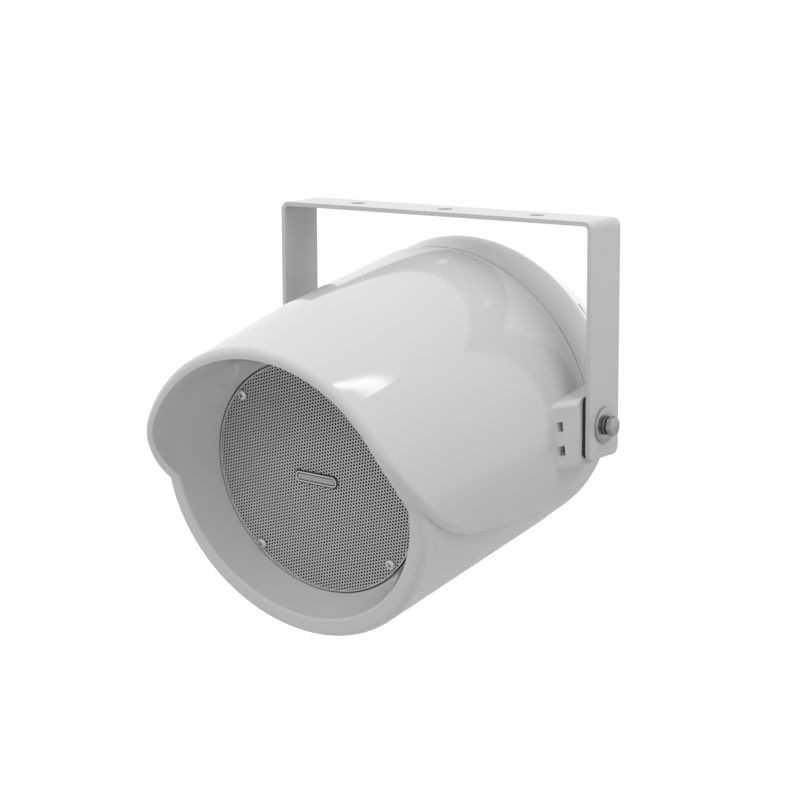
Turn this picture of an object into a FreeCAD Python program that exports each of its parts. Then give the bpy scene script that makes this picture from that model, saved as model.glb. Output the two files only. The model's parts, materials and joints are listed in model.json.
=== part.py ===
import FreeCAD, Part
import os
import re

import Sketcher

# A hooded sound projector: a driver in a moulded tube, hung by two pivot bolts in a U bracket.
# Row frame: origin at the middle of the bracket's top face, +X to the viewer's right, +Y to the back, +Z up.
# The speaker's pieces are drawn about their own axis Y, with the front towards -Y and the pivots below y = 0.

SIZES = {
    # Bracket: a steel strip bent to a U, open downwards
    "arm_gap": 20.6,
    "bracket_depth": 31.5,
    "bracket_sheet": 2.5,
    "bracket_bend": 5.0,
    "bracket_drop": 132.9,
    "arm_corner": 4.5,
    "fixing_hole_radius": 4.5,
    "fixing_spacing": 123.0,
    # Pivot: height of the axis below the bracket's top, rest tilt in degrees, and the fasteners
    "pivot_drop": 114.6,
    "tilt_down": 10.2,
    "axis_rise": 1.5,
    "bolt_radius": 3.0,
    "bolt_clearance": 0.3,
    "bolt_head_width": 10.0,
    "bolt_head_height": 4.2,
    "flat_washer_radius": 10.2,
    "flat_washer_sheet": 1.4,
    "spring_washer_radius": 5.4,
    "spring_washer_sheet": 1.8,
    "spring_washer_split": 1.0,
    "friction_washer_radius": 15.5,
    "friction_washer_sheet": 2.2,
    "insert_radius": 4.5,
    "insert_length": 11.0,
    "insert_floor": 0.8,
    "insert_fit": 0.05,
    # Pivot bosses on the housing's flanks
    "boss_height": 39.0,
    "boss_bury": 10.0,
    "boss_front": 44.3,
    "boss_slope": 27.3,
    "boss_round": 3.0,
    "window_width": 2.9,
    "window_height": 5.8,
    "window_spacing": 14.0,
    "window_inset": 8.3,
    "window_drop": 1.0,
    "window_depth": 9.0,
    # Housing: the tube and its mouth
    "tube_radius": 85.7,
    "tube_spread": 2.2,
    "housing_wall": 3.5,
    "housing_rear": 10.0,
    "rim_reach": 151.6,
    "rim_lean": 6.1,
    "rim_depth": 9.0,
    "rim_round": 5.0,
    "rim_inner_round": 1.8,
    "rim_face": 8.9,
    "mouth_lip": 3.2,
    "funnel_blend": 100.0,
    "mouth_depth": 24.6,
    "seat_inset": 18.7,
    "driver_flange": 5.0,
    "driver_ledge": 10.0,
    "rear_lip": 11.7,
    "rear_flange": 14.0,
    # Housing: the hood over its upper half
    "visor_overhang": 19.3,
    "visor_flare": 2.3,
    "visor_rise": 32.8,
    "visor_corner": 46.0,
    "cowl_raise": 6.8,
    "cowl_taper_length": 81.0,
    "cowl_blend": 500.0,
    "cowl_knee_setback": 9.6,
    "cowl_knee_drop": 21.0,
    "cowl_knee_radius": 98.0,
    "cowl_rear_drop": 55.3,
    "cowl_edge": 4.2,
    "cowl_rear_edge": 4.0,
    "relief_setback": 39.6,
    "relief_angle": 190.0,
    # Rear cover: collar, tapered cap and screw wells
    "seam_gap": 1.0,
    "collar_raise": 3.5,
    "cover_rise": 2.0,
    "collar_length": 26.0,
    "collar_round": 10.0,
    "seam_round": 1.5,
    "cap_reach": 94.0,
    "cap_taper": 35.2,
    "cap_round": 14.0,
    "cover_wall": 3.5,
    "spigot_length": 9.0,
    "spigot_wall": 3.0,
    "spigot_clearance": 0.3,
    "well_radius": 4.6,
    "well_wall": 2.4,
    "cover_screw_inset": 5.7,
    "cover_screw_angle": 35.0,
    "cover_screw_radius": 2.0,
    "cover_screw_length": 16.0,
    "cover_screw_head": 2.6,
    "gasket_width": 9.0,
    # Grille and its fixing
    "grille_clearance": 1.0,
    "grille_sheet": 1.2,
    "grille_hole_radius": 3.6,
    "grille_hole_spacing": 11.0,
    "grille_screw_inset": 5.0,
    "grille_screw_angle": 45.0,
    "grille_screw_radius": 1.9,
    "grille_screw_head": 3.1,
    "grille_screw_head_height": 2.0,
    "grille_screw_head_round": 1.1,
    "grille_screw_length": 20.0,
    "screw_clearance": 0.3,
    "screw_post_radius": 4.6,
    "cloth_sheet": 0.5,
    "front_gasket": 5.0,
    "badge_length": 28.6,
    "badge_height": 7.4,
    "badge_corner": 3.4,
    "badge_sheet": 1.0,
    # Driver
    "basket_clearance": 1.5,
    "basket_sheet": 2.0,
    "basket_depth": 34.0,
    "neck_inset": 2.0,
    "basket_window": 13.0,
    "spider_seat": 25.0,
    "spider_ledge": 5.0,
    "spider_sheet": 0.6,
    "tab_width": 9.0,
    "lug_width": 2.8,
    "lug_length": 13.5,
    "lug_sheet": 0.8,
    "surround_inset": 14.0,
    "surround_sheet": 0.8,
    "surround_lip": 3.0,
    "roll_width": 8.0,
    "roll_height": 3.4,
    "roll_bend": 3.0,
    "glue_line": 0.3,
    "cone_inset": 9.0,
    "cone_sheet": 0.8,
    "cone_depth": 22.0,
    "coil_radius": 13.0,
    "coil_wall": 0.6,
    "coil_length": 22.0,
    "coil_gap": 1.0,
    "coil_fit": 0.1,
    "dust_cap_radius": 17.0,
    "dust_cap_height": 5.5,
    "dust_cap_crown": 6.8,
    "top_plate_radius": 40.0,
    "top_plate_sheet": 5.0,
    "magnet_radius": 45.0,
    "magnet_bore": 23.0,
    "magnet_height": 16.0,
    "yoke_radius": 40.0,
    "yoke_sheet": 5.0,
    "vent_radius": 4.0,
    # Line transformer and terminal block inside the rear cover
    "core_width": 46.0,
    "core_length": 38.0,
    "core_stack": 16.0,
    "winding_depth": 6.0,
    "winding_fit": 0.3,
    "strap_sheet": 1.0,
    "strap_width": 14.0,
    "strap_foot": 12.0,
    "strap_post_height": 14.5,
    "strap_post_radius": 4.0,
    "strap_screw_reach": 30.0,
    "strap_screw_radius": 1.5,
    "strap_screw_length": 10.0,
    "terminal_width": 30.0,
    "terminal_depth": 12.0,
    "terminal_height": 10.0,
    "terminal_rise": 31.0,
    # Cable gland below the middle of the rear cover
    "gland_drop": 30.0,
    "gland_thread_radius": 8.0,
    "gland_hex_width": 22.0,
    "gland_flange": 5.0,
    "gland_neck": 8.0,
    "gland_bore": 4.5,
    "gland_nut_width": 20.0,
    "gland_nut_length": 13.0,
    "gland_nut_wall": 1.6,
    "gland_locknut": 4.0,
    "gland_seal_length": 6.0,
    "gland_clearance": 0.2,
}

# Sizes that follow from the ones above, so that one size carries the others with it
DERIVED = {
    "bracket_width": "(tube_radius + arm_gap) * 2",
    "boss_root": "tube_radius - boss_bury",
    "tube_rear_radius": "tube_radius + tube_spread",
    "mouth_radius": "tube_radius - mouth_lip",
    "rim_opening": "tube_radius - rim_face",
    "seat_reach": "rim_reach - mouth_depth",
    "seat_radius": "tube_radius - seat_inset",
    "driver_opening": "seat_radius - driver_ledge",
    "rear_opening": "tube_radius - rear_lip",
    "visor_reach": "rim_reach + visor_overhang",
    "visor_radius": "tube_radius + visor_flare",
    "cowl_radius": "tube_radius + cowl_raise",
    "cowl_shoulder": "visor_reach - cowl_taper_length",
    "cowl_knee_reach": "rim_reach - cowl_knee_setback",
    "relief_reach": "rim_reach - relief_setback",
    "collar_radius": "tube_radius + collar_raise",
    "cap_radius": "collar_radius - cap_taper",
    "cover_screw_circle": "tube_radius - cover_screw_inset",
    "grille_radius": "seat_radius - grille_clearance",
    "grille_screw_circle": "seat_radius - grille_screw_inset",
    "basket_radius": "seat_radius - basket_clearance",
    "surround_radius": "seat_radius - surround_inset",
    "cone_radius": "surround_radius - cone_inset",
    "basket_neck": "cone_radius - neck_inset",
    "spider_seat_radius": "basket_neck - spider_ledge",
    "grille_back": "seat_reach - grille_sheet",
    "cloth_back": "grille_back - cloth_sheet",
    "basket_front": "cloth_back - front_gasket",
    "cone_front": "basket_front - glue_line",
    "flange_front": "basket_front - basket_sheet",
}

FULL_TURN = 360.0
QUARTER_TURN = 90.0
BASKET_WINDOWS = 6
SPIDER_FOLDS = 6
TERMINAL_WAYS = 3
ROW_RISE = 0.866
HEX_ROOT = 0.57735
TOUCH = 1e-3
LAP = 0.5

doc = FreeCAD.newDocument("loudspeaker")
sheet = doc.addObject("Spreadsheet::Sheet", "Sizes")
for row, (alias, cell) in enumerate([*SIZES.items(), *DERIVED.items()], start=1):
    sheet.set(f"A{row}", alias)
    sheet.set(f"B{row}", f"={cell}" if isinstance(cell, str) else str(cell))
    sheet.setAlias(f"B{row}", alias)
doc.recompute()

subparts = []


def sized(text):
    """Return an expression with each size's name pointing at its cell of the sheet."""
    return re.sub(r"[a-z]\w+", lambda w: f"Sizes.{w[0]}" if w[0] in SIZES or w[0] in DERIVED else w[0], text)


def value(text):
    """Return an expression's number."""
    return float(sheet.evalExpression(text))


def constrain(sketch, kind, text, *where):
    """Add a dimension to a sketch and bind it to an expression of the sheet."""
    index = sketch.addConstraint(Sketcher.Constraint(kind, *where, value(text)))
    name = f"dimension{index}"
    sketch.renameConstraint(index, name)
    sketch.setExpression(f"Constraints.{name}", sized(text))


def pin(sketch, geometry, point, across, up):
    """Fix a point of a sketch's geometry at two expressions from the sketch's origin."""
    constrain(sketch, "DistanceX", across, -1, 1, geometry, point)
    constrain(sketch, "DistanceY", up, -1, 1, geometry, point)


def circle(sketch, across, up, radius):
    """Draw a circle whose centre and radius are expressions."""
    centre = FreeCAD.Vector(value(across), value(up), 0)
    index = sketch.addGeometry(Part.Circle(centre, FreeCAD.Vector(0, 0, 1), value(radius)), False)
    pin(sketch, index, 3, across, up)
    constrain(sketch, "Radius", radius, index)


def outline(sketch, corners):
    """Draw a closed loop through corners (across, up), rounded where a third expression gives a radius."""
    points = [FreeCAD.Vector(value(c[0]), value(c[1]), 0) for c in corners]
    count = len(corners)
    starts, ends, arcs = [], [], {}
    for i, corner in enumerate(corners):
        before = (points[i - 1] - points[i]).normalize()
        after = (points[(i + 1) % count] - points[i]).normalize()
        if len(corner) == 2:
            starts.append(points[i])
            ends.append(points[i])
            continue
        radius = value(corner[2])
        middle = (before + after).normalize()
        sine = (middle - before * middle.dot(before)).Length
        cosine = middle.dot(before)
        centre = points[i] + middle * (radius / sine)
        run = radius * cosine / sine
        ends.append(points[i] + before * run)
        starts.append(points[i] + after * run)
        arcs[i] = (centre, radius, before.cross(after).z < 0)
    lines = []
    for i in range(count):
        lines.append(sketch.addGeometry(Part.LineSegment(starts[i], ends[(i + 1) % count]), False))
    for i, corner in enumerate(corners):
        incoming, outgoing = lines[i - 1], lines[i]
        if i not in arcs:
            sketch.addConstraint(Sketcher.Constraint("Coincident", incoming, 2, outgoing, 1))
            pin(sketch, outgoing, 1, corner[0], corner[1])
            continue
        centre, radius, turns_left = arcs[i]
        first, last = (ends[i], starts[i]) if turns_left else (starts[i], ends[i])
        ring = Part.Circle(centre, FreeCAD.Vector(0, 0, 1), radius)
        arc = sketch.addGeometry(Part.ArcOfCircle(ring, ring.parameter(first), ring.parameter(last)), False)
        apex = sketch.addGeometry(Part.Point(points[i]), True)
        sketch.addConstraint(Sketcher.Constraint("Tangent", incoming, 2, arc, 1 if turns_left else 2))
        sketch.addConstraint(Sketcher.Constraint("Tangent", outgoing, 1, arc, 2 if turns_left else 1))
        sketch.addConstraint(Sketcher.Constraint("PointOnObject", apex, 1, incoming))
        sketch.addConstraint(Sketcher.Constraint("PointOnObject", apex, 1, outgoing))
        pin(sketch, apex, 1, corner[0], corner[1])
        constrain(sketch, "Radius", corner[2], arc)


def new_body(label):
    """Start a body."""
    body = doc.addObject("PartDesign::Body", label)
    body.Label = label
    return body


def new_sketch(body, role, offset=None):
    """Start a sketch on one of the body's own planes, moved along its normal by an expression."""
    sketch = body.newObject("Sketcher::SketchObject", f"{body.Name}_sketch")
    plane = next(f for f in body.Origin.OriginFeatures if f.Role == role)
    sketch.AttachmentSupport = (plane, [""])
    sketch.MapMode = "FlatFace"
    if offset:
        sketch.setExpression("AttachmentOffset.Base.z", sized(offset))
    return sketch


def turned(body, corners, kind="Revolution", role="YZ_Plane", angle=None, rise=None):
    """Revolve a profile about its sketch's first axis, all the way round or evenly about the sketch."""
    sketch = new_sketch(body, role)
    if rise:
        sketch.setExpression("AttachmentOffset.Base.y", sized(rise))
    outline(sketch, corners)
    feature = body.newObject(f"PartDesign::{kind}", f"{body.Name}_{kind.lower()}")
    feature.Profile = sketch
    feature.ReferenceAxis = (sketch, ["H_Axis"])
    feature.Angle = FULL_TURN
    if angle:
        feature.Midplane = True
        feature.setExpression("Angle", sized(angle))
    doc.recompute()
    return feature


def raised(body, sketch, length, symmetric=False, back=False):
    """Pad a sketch by a length, one way, the other way or evenly about its plane."""
    pad = body.newObject("PartDesign::Pad", f"{body.Name}_pad")
    pad.Profile = sketch
    pad.SideType = "Symmetric" if symmetric else "One side"
    pad.Reversed = back
    pad.setExpression("Length", sized(length))
    doc.recompute()
    return pad


def sunk(body, sketch, length=None, back=False):
    """Pocket a sketch by a length, or right through both ways, and check that it took something away."""
    before = body.Shape.Volume
    pocket = body.newObject("PartDesign::Pocket", f"{body.Name}_pocket")
    pocket.Profile = sketch
    pocket.Reversed = back
    if length:
        pocket.setExpression("Length", sized(length))
    else:
        pocket.SideType = "Symmetric"
        pocket.Type = "ThroughAll"
    doc.recompute()
    if not body.Shape.Volume < before:
        raise RuntimeError(f"{pocket.Name} cuts nothing")
    return pocket


def rounded(body, base, radius, wanted):
    """Fillet the edges of a feature that a test picks out."""
    edges = [f"Edge{i}" for i, edge in enumerate(base.Shape.Edges, start=1) if wanted(edge)]
    fillet = body.newObject("PartDesign::Fillet", f"{body.Name}_fillet")
    fillet.Base = (base, edges)
    fillet.setExpression("Radius", sized(radius))
    doc.recompute()
    return fillet


def around(body, feature, count):
    """Repeat a feature evenly about the speaker's axis."""
    pattern = body.newObject("PartDesign::PolarPattern", f"{body.Name}_pattern")
    pattern.Originals = [feature]
    pattern.Axis = (next(f for f in body.Origin.OriginFeatures if f.Role == "Y_Axis"), [""])
    pattern.Angle = FULL_TURN
    pattern.Occurrences = count
    body.Tip = pattern
    doc.recompute()
    return pattern


def mirrored(body, features, role="YZ_Plane"):
    """Mirror features to the other side of one of the body's planes."""
    mirror = body.newObject("PartDesign::Mirrored", f"{body.Name}_mirror")
    mirror.Originals = features
    mirror.MirrorPlane = (next(f for f in body.Origin.OriginFeatures if f.Role == role), [""])
    body.Tip = mirror
    doc.recompute()
    return mirror


def hexagon(flats):
    """Return the corners of a hexagon about the origin, by its width across flats."""
    reach = f"{flats} * {HEX_ROOT}"
    return [(f"{reach} * cos({60 * k})", f"{reach} * sin({60 * k})") for k in range(6)]


def hexagon_pad(body, flats, offset, length):
    """Raise a hexagon towards the back, from a plane across the speaker's axis."""
    sides = new_sketch(body, "XZ_Plane", offset)
    outline(sides, hexagon(flats))
    return raised(body, sides, length, back=True)


def placed(subpart, label, rise="axis_rise"):
    """Name a finished sub-part and set it in the bracket, tilted about the pivot axis."""
    subpart.Label = label
    subpart.Placement = FreeCAD.Placement(FreeCAD.Vector(), FreeCAD.Rotation(FreeCAD.Vector(1, 0, 0), 1.0))
    subpart.setExpression("Placement.Base.y", sized(f"-{rise} * sin(tilt_down)"))
    subpart.setExpression("Placement.Base.z", sized(f"{rise} * cos(tilt_down) - pivot_drop"))
    subpart.setExpression("Placement.Rotation.Angle", sized("tilt_down"))
    subparts.append(subpart)


def turned_part(label, corners):
    """Turn a whole sub-part about the speaker's axis and set it in place."""
    body = new_body(label)
    turned(body, corners)
    placed(body, label)


def drill(body, places, radius, offset, length, back=False):
    """Drill round holes at (across, up) places, from a plane across the speaker's axis."""
    holes = new_sketch(body, "XZ_Plane", offset)
    for across, up in places:
        circle(holes, across, up, radius)
    return sunk(body, holes, length, back)


def studs(body, places, radius, offset, length, back=False):
    """Raise round studs at (across, up) places, from a plane across the speaker's axis."""
    ends = new_sketch(body, "XZ_Plane", offset)
    for across, up in places:
        circle(ends, across, up, radius)
    return raised(body, ends, length, back=back)


def four_places(circle_radius, angle):
    """Return four (across, up) places on a circle, at an angle above and below the level on each side."""
    across, up = f"{circle_radius} * cos({angle})", f"{circle_radius} * sin({angle})"
    return [(f"{side} * {across}", f"{level} * {up}") for side in (-1, 1) for level in (-1, 1)]


def block(sketch, left, right, low, high):
    """Draw a rectangle between four expressions."""
    outline(sketch, [(left, low), (right, low), (right, high), (left, high)])


# The arm's faces and the boss's outer face, measured from the middle of the speaker
ARM_OUTER = "bracket_width / 2"
ARM_INNER = "(bracket_width / 2 - bracket_sheet)"
BOSS_FACE = "(bracket_width / 2 - bracket_sheet - friction_washer_sheet)"
FUNNEL_SLOPE = "((rim_opening - seat_radius) / mouth_depth)"
VISOR_SLOPE = "((mouth_radius - rim_opening) / visor_overhang)"
CAVITY = "(tube_radius - housing_wall)"
RIM_BACK = "(rim_depth - rim_reach + rim_lean)"
COVER_AXIS = "(axis_rise + cover_rise)"
COVER_FRONT = "(housing_rear + seam_gap)"
COLLAR_END = "(housing_rear + seam_gap + collar_length)"
CAP_INSIDE = "(cap_reach - cover_wall)"
POST_END = "(cap_reach - cover_wall - strap_post_height)"

# Where the four cover screws, the four grille screws and the two strap screws go
COVER_SCREWS = four_places("cover_screw_circle", "cover_screw_angle")
GRILLE_SCREWS = four_places("grille_screw_circle", "grille_screw_angle")
STRAP_SCREWS = [("-strap_screw_reach", "0"), ("strap_screw_reach", "0")]
GRILLE_SCREW_HOLE = "grille_screw_radius + screw_clearance"


def make_bracket():
    """Bend the strip, round the arms' ends and drill the fixing and pivot holes."""
    body = new_body("mounting_bracket")
    sketch = new_sketch(body, "XZ_Plane")
    inner_bend = "bracket_bend - bracket_sheet"
    outline(sketch, [
        (f"-{ARM_OUTER}", "-bracket_drop"),
        (f"-{ARM_INNER}", "-bracket_drop"),
        (f"-{ARM_INNER}", "-bracket_sheet", inner_bend),
        (ARM_INNER, "-bracket_sheet", inner_bend),
        (ARM_INNER, "-bracket_drop"),
        (ARM_OUTER, "-bracket_drop"),
        (ARM_OUTER, "0", "bracket_bend"),
        (f"-{ARM_OUTER}", "0", "bracket_bend"),
    ])
    strip = raised(body, sketch, "bracket_depth", symmetric=True)
    low = value("-bracket_drop")
    rounded(body, strip, "arm_corner", lambda e: e.BoundBox.ZMax - low < TOUCH and e.BoundBox.YLength < TOUCH)
    fixings = new_sketch(body, "XY_Plane")
    for across in ("-fixing_spacing / 2", "0", "fixing_spacing / 2"):
        circle(fixings, across, "0", "fixing_hole_radius")
    sunk(body, fixings, "bracket_sheet")
    pivots = new_sketch(body, "YZ_Plane")
    circle(pivots, "0", "-pivot_drop", "bolt_radius + bolt_clearance")
    sunk(body, pivots)
    subparts.append(body)


def make_housing():
    """Join the tube with its bosses to the hood, and bore the bosses for their inserts."""
    shell = doc.addObject("Part::Fuse", "housing_shell")
    shell.Base = make_tube()
    shell.Tool = make_hood()
    shell.Refine = True
    bores = doc.addObject("Part::MultiFuse", "insert_bores")
    bores.Shapes = [make_insert_bore("right_bore", 1), make_insert_bore("left_bore", -1)]
    housing = doc.addObject("Part::Cut", "housing")
    housing.Base = shell
    housing.Tool = bores
    housing.Refine = True
    doc.recompute()
    placed(housing, "housing")


def make_insert_bore(name, side):
    """Return the blind hole for a threaded insert, from a boss's outer face inwards."""
    bore = doc.addObject("Part::Cylinder", name)
    bore.setExpression("Radius", sized("insert_radius"))
    bore.setExpression("Height", sized("insert_length + insert_floor"))
    inwards = FreeCAD.Rotation(FreeCAD.Vector(0, 1, 0), -QUARTER_TURN * side)
    bore.Placement = FreeCAD.Placement(FreeCAD.Vector(), inwards)
    bore.setExpression("Placement.Base.x", sized(f"{side} * {BOSS_FACE}"))
    bore.setExpression("Placement.Base.z", sized("-axis_rise"))
    return bore


def make_tube():
    """Turn the tube with its flared mouth and grille seat, with a boss on each flank."""
    body = new_body("housing_tube")
    front = "-(rim_reach + rim_lean * 2)"
    draft = "(tube_spread / (rim_reach + housing_rear))"
    turned(body, [
        (front, "0"),
        (front, f"tube_radius - rim_lean * 2 * {draft}"),
        ("housing_rear", "tube_rear_radius"),
        ("housing_rear", "0"),
    ])
    bosses = new_sketch(body, "XY_Plane", "-axis_rise")
    outline(bosses, [
        ("-boss_root", "-boss_front"),
        ("boss_root", "-boss_front"),
        (BOSS_FACE, "boss_slope - boss_front"),
        (BOSS_FACE, "housing_rear"),
        (f"-{BOSS_FACE}", "housing_rear"),
        (f"-{BOSS_FACE}", "boss_slope - boss_front"),
    ])
    flanks = raised(body, bosses, "boss_height", symmetric=True)
    face, slope_end = value(BOSS_FACE), value("boss_slope - boss_front")

    def on_boss_front(edge):
        box = edge.BoundBox
        reaches_face = max(-box.XMin, box.XMax) > face - TOUCH
        return reaches_face and box.YMax < slope_end + TOUCH

    rounded(body, flanks, "boss_round", on_boss_front)
    windows = new_sketch(body, "XZ_Plane", "boss_front")
    for side in (-1, 1):
        for level in (-1, 1):
            middle = f"{side} * ({BOSS_FACE} - window_inset)"
            height = f"{level} * window_spacing / 2 - axis_rise - window_drop"
            outline(windows, [
                (f"{middle} - window_width / 2", f"{height} - window_height / 2"),
                (f"{middle} + window_width / 2", f"{height} - window_height / 2"),
                (f"{middle} + window_width / 2", f"{height} + window_height / 2"),
                (f"{middle} - window_width / 2", f"{height} + window_height / 2"),
            ])
    sunk(body, windows, "boss_slope + window_depth")
    make_inside(body)
    rim = new_sketch(body, "YZ_Plane")
    outline(rim, [
        ("-(rim_reach + rim_lean * 2)", "tube_radius * 2"),
        ("-(rim_reach - rim_lean * 2)", "-tube_radius * 2"),
        ("-visor_reach * 2", "-tube_radius * 2"),
        ("-visor_reach * 2", "tube_radius * 2"),
    ])
    cut = sunk(body, rim)
    reach, lean, radius = value("rim_reach"), value("rim_lean"), value("tube_radius")

    def on_rim(edge):
        middle = edge.valueAt((edge.FirstParameter + edge.LastParameter) / 2)
        return abs(middle.y + reach + lean * middle.z / radius) < TOUCH

    def on_rim_outside(edge):
        return on_rim(edge) and edge.BoundBox.XLength / 2 > radius - TOUCH

    outer = rounded(body, cut, "rim_round", on_rim_outside)
    inner_limit = radius - value("rim_round + rim_inner_round")
    rounded(body, outer, "rim_inner_round", lambda e: on_rim(e) and e.BoundBox.XLength / 2 < inner_limit)
    return body


def make_inside(body):
    """Hollow the tube: funnel, grille seat, the cavity behind them, and the posts for the grille screws."""
    beyond = "(visor_reach + rim_depth)"
    turned(body, [
        (f"-{beyond}", "0"),
        (f"-{beyond}", f"mouth_radius + rim_depth * {VISOR_SLOPE}"),
        ("-rim_reach", "rim_opening", "funnel_blend"),
        ("-seat_reach", "seat_radius"),
        ("-flange_front", "seat_radius"),
        ("-flange_front", "driver_opening"),
        ("driver_flange - flange_front", "driver_opening"),
        ("driver_flange - flange_front", "seat_radius + housing_wall"),
        ("-seat_reach", "seat_radius + housing_wall"),
        (RIM_BACK, f"seat_radius + housing_wall + rim_depth * {FUNNEL_SLOPE}"),
        (RIM_BACK, CAVITY),
        ("housing_rear - rear_flange", CAVITY),
        ("housing_rear - rear_flange", "rear_opening"),
        ("housing_rear", "rear_opening"),
        ("housing_rear", "0"),
    ], kind="Groove")
    turned(body, [
        ("-relief_reach", f"{CAVITY} - {LAP}"),
        ("-relief_reach", f"tube_rear_radius + {LAP}"),
        ("housing_rear - rear_flange", f"tube_rear_radius + {LAP}"),
        ("housing_rear - rear_flange", f"{CAVITY} - {LAP}"),
    ], kind="Groove", angle="relief_angle")
    flange_back = "flange_front - driver_flange"
    studs(body, GRILLE_SCREWS, "screw_post_radius", flange_back, "driver_flange * 2", back=True)
    drill(body, GRILLE_SCREWS, "grille_screw_radius", "flange_front", "driver_flange * 3")
    drill(body, COVER_SCREWS, "cover_screw_radius", "-housing_rear", "rear_flange", back=True)


def make_hood():
    """Turn the hood's tapered ring, cut its flowing lower edge and round it."""
    body = new_body("housing_hood")
    beyond = "(visor_reach + rim_inner_round)"
    taper = "((cowl_radius - visor_radius) / (visor_reach - cowl_shoulder))"
    lap = "tube_radius - housing_wall / 2"
    turned(body, [
        (f"-{beyond}", f"mouth_radius + rim_inner_round * {VISOR_SLOPE}"),
        (f"-{beyond}", f"visor_radius - rim_inner_round * {taper}"),
        ("-cowl_shoulder", "cowl_radius", "cowl_blend"),
        ("housing_rear", "cowl_radius", "cowl_rear_edge"),
        ("housing_rear", lap),
        (RIM_BACK, lap),
        (RIM_BACK, f"seat_radius - {FUNNEL_SLOPE} * ({RIM_BACK} + seat_reach)"),
        ("-rim_reach", "rim_opening", "funnel_blend"),
    ])
    sweep = new_sketch(body, "YZ_Plane")
    rear = "housing_rear + rim_depth"
    outline(sweep, [
        ("-visor_reach * 2", "tube_radius * 2"),
        ("-visor_reach * 2", "-tube_radius * 2"),
        (rear, "-tube_radius * 2"),
        (rear, "-cowl_rear_drop"),
        ("-cowl_knee_reach", "-cowl_knee_drop", "cowl_knee_radius"),
        ("-visor_reach", "visor_rise", "visor_corner"),
        ("-visor_reach", "tube_radius * 2"),
    ])
    cut = sunk(body, sweep)
    rear_side, tube_side = value("housing_rear") - LAP, value("tube_radius") + LAP

    def is_swept(face):
        surface = face.Surface
        if isinstance(surface, Part.Cylinder):
            return abs(surface.Axis.x) > 0.5
        return isinstance(surface, Part.Plane) and face.CenterOfMass.y < rear_side

    def on_swept_edge(edge):
        middle = edge.valueAt((edge.FirstParameter + edge.LastParameter) / 2)
        swept = [is_swept(face) for face in cut.Shape.ancestorsOfType(edge, Part.Face)]
        return sum(swept) == 1 and (middle.x ** 2 + middle.z ** 2) ** 0.5 > tube_side

    rounded(body, cut, "cowl_edge", on_swept_edge)
    turned(body, [
        ("-relief_reach", f"{CAVITY} - {LAP}"),
        ("-relief_reach", "cowl_radius - housing_wall"),
        ("housing_rear - rear_flange", "cowl_radius - housing_wall"),
        ("housing_rear - rear_flange", f"{CAVITY} - {LAP}"),
    ], kind="Groove", angle="relief_angle")
    return body


def make_rear_cover():
    """Turn the cover about its own axis, with its spigot and screw wells about the tube's."""
    body = new_body("rear_cover")
    spigot = "(rear_opening - spigot_clearance)"
    spigot_front = f"{COVER_FRONT} - spigot_length"
    blank_radius = "collar_radius + cover_wall"
    blank_end = "cap_reach + cover_wall"
    flange_back = f"({COVER_FRONT} + cover_wall)"
    turned(body, [
        (COVER_FRONT, "0"),
        (COVER_FRONT, blank_radius),
        (blank_end, blank_radius),
        (blank_end, "0"),
    ])
    turned(body, [
        (spigot_front, "0"),
        (spigot_front, spigot),
        (flange_back, spigot),
        (flange_back, "0"),
    ], rise="-cover_rise")
    turned(body, [
        (spigot_front, "0"),
        (spigot_front, f"{spigot} - spigot_wall"),
        (flange_back, f"{spigot} - spigot_wall"),
        (flange_back, "0"),
    ], kind="Groove", rise="-cover_rise")
    turned(body, [
        (flange_back, "0"),
        (flange_back, "collar_radius - cover_wall"),
        (f"{COLLAR_END} - cover_wall / 3", "collar_radius - cover_wall"),
        (CAP_INSIDE, "cap_radius - cover_wall / 2", "cap_round - cover_wall"),
        (CAP_INSIDE, "0"),
    ], kind="Groove")
    whole = f"cap_reach - {COVER_FRONT}"
    post_length = "strap_post_height + cover_wall / 2"
    wells = [(across, f"{up} - cover_rise") for across, up in COVER_SCREWS]
    studs(body, wells, "well_radius + well_wall", f"-{COVER_FRONT}", whole, back=True)
    studs(body, STRAP_SCREWS, "strap_post_radius", f"-{POST_END}", post_length, back=True)
    outside = turned(body, [
        ("housing_rear", "collar_radius"),
        (COLLAR_END, "collar_radius", "collar_round"),
        ("cap_reach", "cap_radius", "cap_round"),
        ("cap_reach", "0"),
        (f"{blank_end} + cover_wall", "0"),
        (f"{blank_end} + cover_wall", f"{blank_radius} + cover_wall"),
        ("housing_rear", f"{blank_radius} + cover_wall"),
    ], kind="Groove")
    front, radius = value(COVER_FRONT), value("collar_radius")

    def on_collar_front(edge):
        box = edge.BoundBox
        return abs(box.YMin - front) < TOUCH and box.YLength < TOUCH and abs(box.XMax - radius) < TOUCH

    rounded(body, outside, "seam_round", on_collar_front)
    drill(body, wells, "well_radius", "-cap_reach", f"{whole} - cover_wall", back=True)
    drill(body, wells, "cover_screw_radius + screw_clearance", f"-{COVER_FRONT}", "cover_wall * 2")
    drill(body, STRAP_SCREWS, "strap_screw_radius", f"-{POST_END}", "strap_screw_length")
    gland = [("0", "-gland_drop")]
    drill(body, gland, "gland_thread_radius + gland_clearance", "-cap_reach", "cover_wall * 2", back=True)
    placed(body, "rear_cover", COVER_AXIS)


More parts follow.
